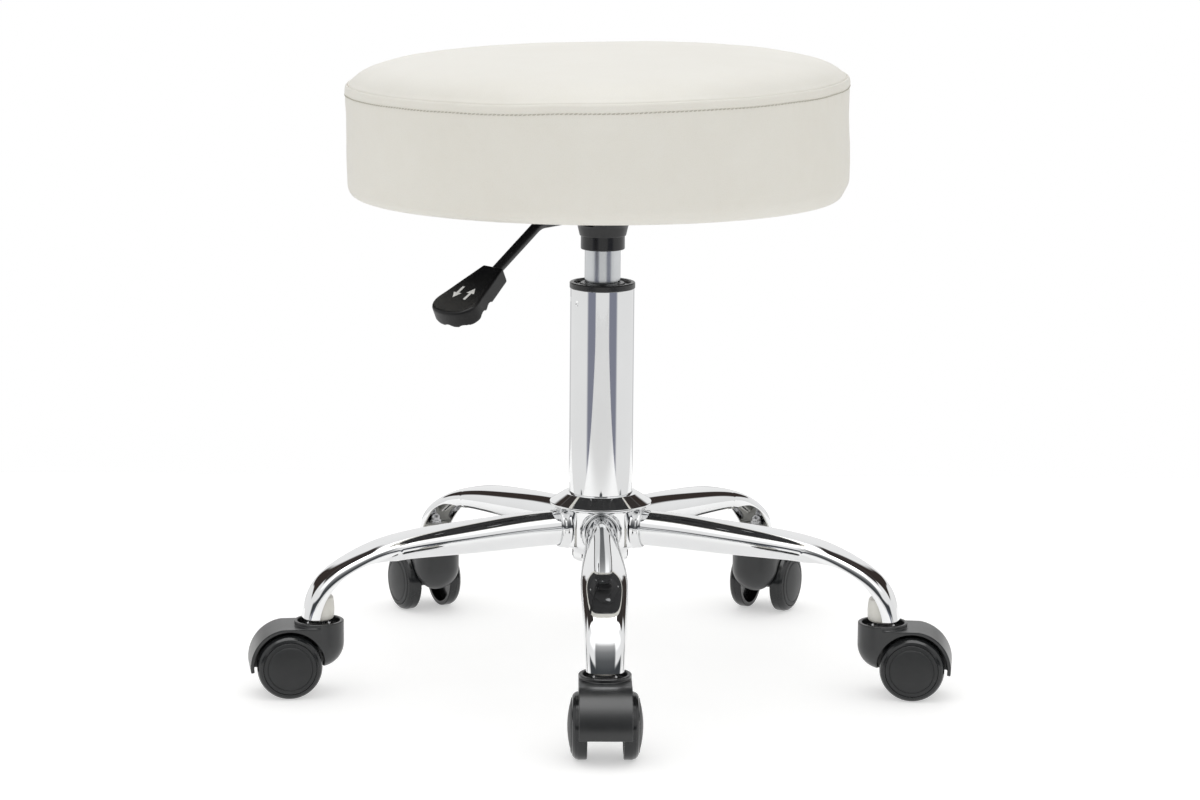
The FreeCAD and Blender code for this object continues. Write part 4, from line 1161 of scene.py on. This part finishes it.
dv, df = dust_cover()
dust = make_obj("dust_cover_cloth", dv, df, "seat", "dust_cloth", "dust_cloth", "dust_cover", sharp=None)

# ------------------------------------------------- finishes of the CAD's own parts
FINISH = {
    "stem_inserts": "white_nylon", "caster_stems": "bright_steel", "column_bottom_plate": "zinc_steel",
    "bearing_lower_washer": "bright_steel", "bearing_upper_washer": "bright_steel", "piston_rod": "bright_steel",
    "gas_piston": "aluminium", "thrust_bearing": "bright_steel", "rod_bumper": "rubber", "rod_clip": "zinc_steel",
    "cylinder_gland": "aluminium", "mount_plate": "black_paint", "lever_pivot_pin": "zinc_steel", "plate_bolts": "zinc_steel",
    "t_nuts": "zinc_steel", "seat_board": "plywood", "staples": "zinc_steel", "release_pin": "bright_steel",
}
for nm, _ in LEGS:
    FINISH["caster_%s_axle" % nm] = "bright_steel"
for nd, mt in FINISH.items():
    ob = NODE[nd]
    for sl_ in ob.material_slots:
        sl_.material = MAT[mt]


# ---------------------------------------------------------------- stage and light
def make_floor():
    m, nt, b, co = new_mat("floor")
    tone = n_noise(nt, co, 1.2, 2.0)
    nt.links.new(n_ramp(nt, tone, [(0.3, (0.70, 0.70, 0.70)), (0.7, (0.72, 0.72, 0.72))]), b.inputs["Base Color"])
    b.inputs["Roughness"].default_value = 0.75
    b.inputs["Specular IOR Level"].default_value = 0.2
    # lit from below as well, like a light table, so that it runs into the white backdrop
    b.inputs["Emission Color"].default_value = (1.0, 1.0, 1.0, 1.0)
    pos = nt.nodes.new("ShaderNodeSeparateXYZ")
    nt.links.new(co, pos.inputs[0])
    nt.links.new(n_range(nt, pos.outputs[1], -0.85, -0.55, 0.12, 0.44, True), b.inputs["Emission Strength"])
    # open to the eye from below, so that the underside can be looked at
    out = [n for n in nt.nodes if n.type == "OUTPUT_MATERIAL"][0]
    geo = nt.nodes.new("ShaderNodeNewGeometry")
    tr = nt.nodes.new("ShaderNodeBsdfTransparent")
    mx = nt.nodes.new("ShaderNodeMixShader")
    nt.links.new(geo.outputs["Backfacing"], mx.inputs[0])
    nt.links.new(b.outputs[0], mx.inputs[1])
    nt.links.new(tr.outputs[0], mx.inputs[2])
    nt.links.new(mx.outputs[0], out.inputs[0])
    me = bpy.data.meshes.new("floor")
    s, y0, y1 = 0.64, -1.75, 0.75
    me.from_pydata([(-s, y0, 0), (s, y0, 0), (s, y1, 0), (-s, y1, 0)], [], [(0, 1, 2, 3)])
    me.materials.append(m)
    ob = bpy.data.objects.new("floor", me)
    scene.collection.objects.link(ob)


make_floor()


def make_world():
    """White studio. The eye sees plain white; polished parts see a room with a dark line along the front
    horizon, two dark stands beside the camera and dark corners at the back; everything else gets soft light from above."""
    w = bpy.data.worlds.new("studio")
    scene.world = w
    w.use_nodes = True
    nt = w.node_tree
    nt.nodes.clear()
    out = nt.nodes.new("ShaderNodeOutputWorld")
    d = nt.nodes.new("ShaderNodeTexCoord").outputs["Generated"]
    sep = nt.nodes.new("ShaderNodeSeparateXYZ")
    nt.links.new(d, sep.inputs[0])
    x, y, z = sep.outputs
    ax = n_math(nt, "ABSOLUTE", x)

    def mul(*a):
        o = a[0]
        for q in a[1:]:
            o = n_math(nt, "MULTIPLY", o, q)
        return o

    front = n_range(nt, y, -0.15, -0.40, 0.0, 1.0, True)
    t = n_math(nt, "DIVIDE", ax, n_math(nt, "MAXIMUM", n_math(nt, "MULTIPLY", y, -1.0), 0.01))
    stand = mul(n_range(nt, t, 0.40, 0.50, 0.0, 1.0, True), n_range(nt, t, 1.15, 1.6, 1.0, 0.0, True),
                n_range(nt, z, -0.36, -0.22, 0.0, 1.0, True), n_range(nt, z, 0.10, 0.16, 1.0, 0.0, True), front)
    line = mul(n_range(nt, z, -0.07, -0.01, 0.0, 1.0, True), n_range(nt, z, 0.12, 0.20, 1.0, 0.0, True), front)
    back = n_range(nt, y, 0.05, 0.20, 0.0, 1.0, True)
    tb = n_math(nt, "DIVIDE", ax, n_math(nt, "MAXIMUM", y, 0.01))
    corner = mul(n_range(nt, tb, 0.42, 0.52, 0.0, 1.0, True), n_range(nt, tb, 1.7, 2.3, 1.0, 0.0, True),
                 n_range(nt, z, 0.13, 0.16, 0.0, 1.0, True), n_range(nt, z, 0.60, 0.66, 1.0, 0.0, True), back)
    rim = mul(n_range(nt, y, 0.80, 0.90, 0.0, 1.0, True), n_range(nt, z, -0.02, -0.06, 0.0, 1.0, True))
    room = n_mix(nt, n_range(nt, z, -0.5, 0.5, 0.0, 1.0, True), (0.87, 0.87, 0.865), (0.96, 0.96, 0.96))
    box = mul(n_range(nt, z, 0.40, 0.62, 0.0, 1.0, True), front)
    room = n_mix(nt, box, room, (1.5, 1.5, 1.5))
    # the unlit end of the studio, straight in front, paler towards the softbox above it
    dim = mul(n_range(nt, t, 0.36, 0.58, 1.0, 0.0, True), n_range(nt, z, -0.02, 0.04, 0.0, 1.0, True),
              n_range(nt, z, 0.62, 0.76, 1.0, 0.0, True), front)
    shade = n_ramp(nt, z, [(0.05, (0.055, 0.06, 0.065)), (0.28, (0.11, 0.115, 0.12)), (0.48, (0.24, 0.245, 0.25)), (0.66, (0.55, 0.55, 0.55))])
    room = n_mix(nt, dim, room, shade)
    room = n_mix(nt, mul(rim, 0.5), room, (0.35, 0.35, 0.37))
    room = n_mix(nt, stand, room, (0.24, 0.25, 0.31))
    room = n_mix(nt, line, room, (0.055, 0.06, 0.065))
    room = n_mix(nt, corner, room, (0.042, 0.033, 0.030))
    # overhead softbox
    room = n_mix(nt, n_range(nt, z, 0.80, 0.90, 0.0, 1.0, True), room, (3.6, 3.6, 3.6))
    # unlit ceiling beside it
    ceil = mul(n_range(nt, ax, 0.22, 0.30, 0.0, 1.0, True), n_range(nt, z, 0.58, 0.64, 0.0, 1.0, True), n_range(nt, y, -0.04, 0.06, 0.0, 1.0, True))
    room = n_mix(nt, ceil, room, (0.042, 0.036, 0.034))
    soft = n_ramp(nt, n_range(nt, z, -1.0, 1.0, 0.0, 1.0),
                  [(0.0, (0.62, 0.60, 0.55)), (0.5, (0.68, 0.665, 0.615)), (0.68, (0.94, 0.935, 0.925)), (1.0, (0.99, 0.99, 0.985))])
    lp = nt.nodes.new("ShaderNodeLightPath")
    col = n_mix(nt, lp.outputs["Is Glossy Ray"], soft, room)
    bg = nt.nodes.new("ShaderNodeBackground")
    nt.links.new(n_mix(nt, lp.outputs["Is Camera Ray"], col, (1.0, 1.0, 1.0)), bg.inputs["Color"])
    nt.links.new(bg.outputs[0], out.inputs[0])


make_world()


def area(name, loc, target, sx, sy, power):
    li = bpy.data.lights.new(name, "AREA")
    li.shape = "RECTANGLE"
    li.size, li.size_y = sx, sy
    li.energy = power
    ob = bpy.data.objects.new(name, li)
    ob.location = loc
    ob.rotation_mode = "QUATERNION"
    ob.rotation_quaternion = (Vector(target) - Vector(loc)).to_track_quat("-Z", "Y")
    ob.visible_camera = False
    ob.visible_glossy = False
    scene.collection.objects.link(ob)
    return ob


area("overhead_softbox", (-0.35, -0.3, 2.4), (0.0, 0.0, 0.3), 1.8, 1.8, 3.0)

scene.view_settings.view_transform = "Standard"
scene.view_settings.look = "None"
scene.view_settings.exposure = 0.0
scene.view_settings.gamma = 1.0


def make_camera():
    turn = math.radians(-1.10)
    dist, high, pitch, roll, yaw = 2.8, 0.7413, math.radians(10.592), math.radians(0.5), math.radians(-0.023)
    rz = lambda v: np.array([v[0] * math.cos(turn) - v[1] * math.sin(turn), v[0] * math.sin(turn) + v[1] * math.cos(turn), v[2]])
    loc = rz(np.array([0.0, -dist, high]))
    fw = rz(np.array([math.sin(yaw) * math.cos(pitch), math.cos(yaw) * math.cos(pitch), -math.sin(pitch)]))
    r = np.cross(fw, [0, 0, 1.0])
    r /= np.linalg.norm(r)
    u = np.cross(r, fw)
    r2 = math.cos(roll) * r + math.sin(roll) * u
    u2 = -math.sin(roll) * r + math.cos(roll) * u
    m = Matrix(((r2[0], u2[0], -fw[0], loc[0]), (r2[1], u2[1], -fw[1], loc[1]), (r2[2], u2[2], -fw[2], loc[2]), (0, 0, 0, 1)))
    cam = bpy.data.cameras.new("camera")
    cam.sensor_fit = "HORIZONTAL"
    cam.sensor_width = 36.0
    cam.lens = 108.98
    cam.clip_start, cam.clip_end = 0.05, 100.0
    ob = bpy.data.objects.new("camera", cam)
    ob.matrix_world = m
    scene.collection.objects.link(ob)
    scene.camera = ob


make_camera()
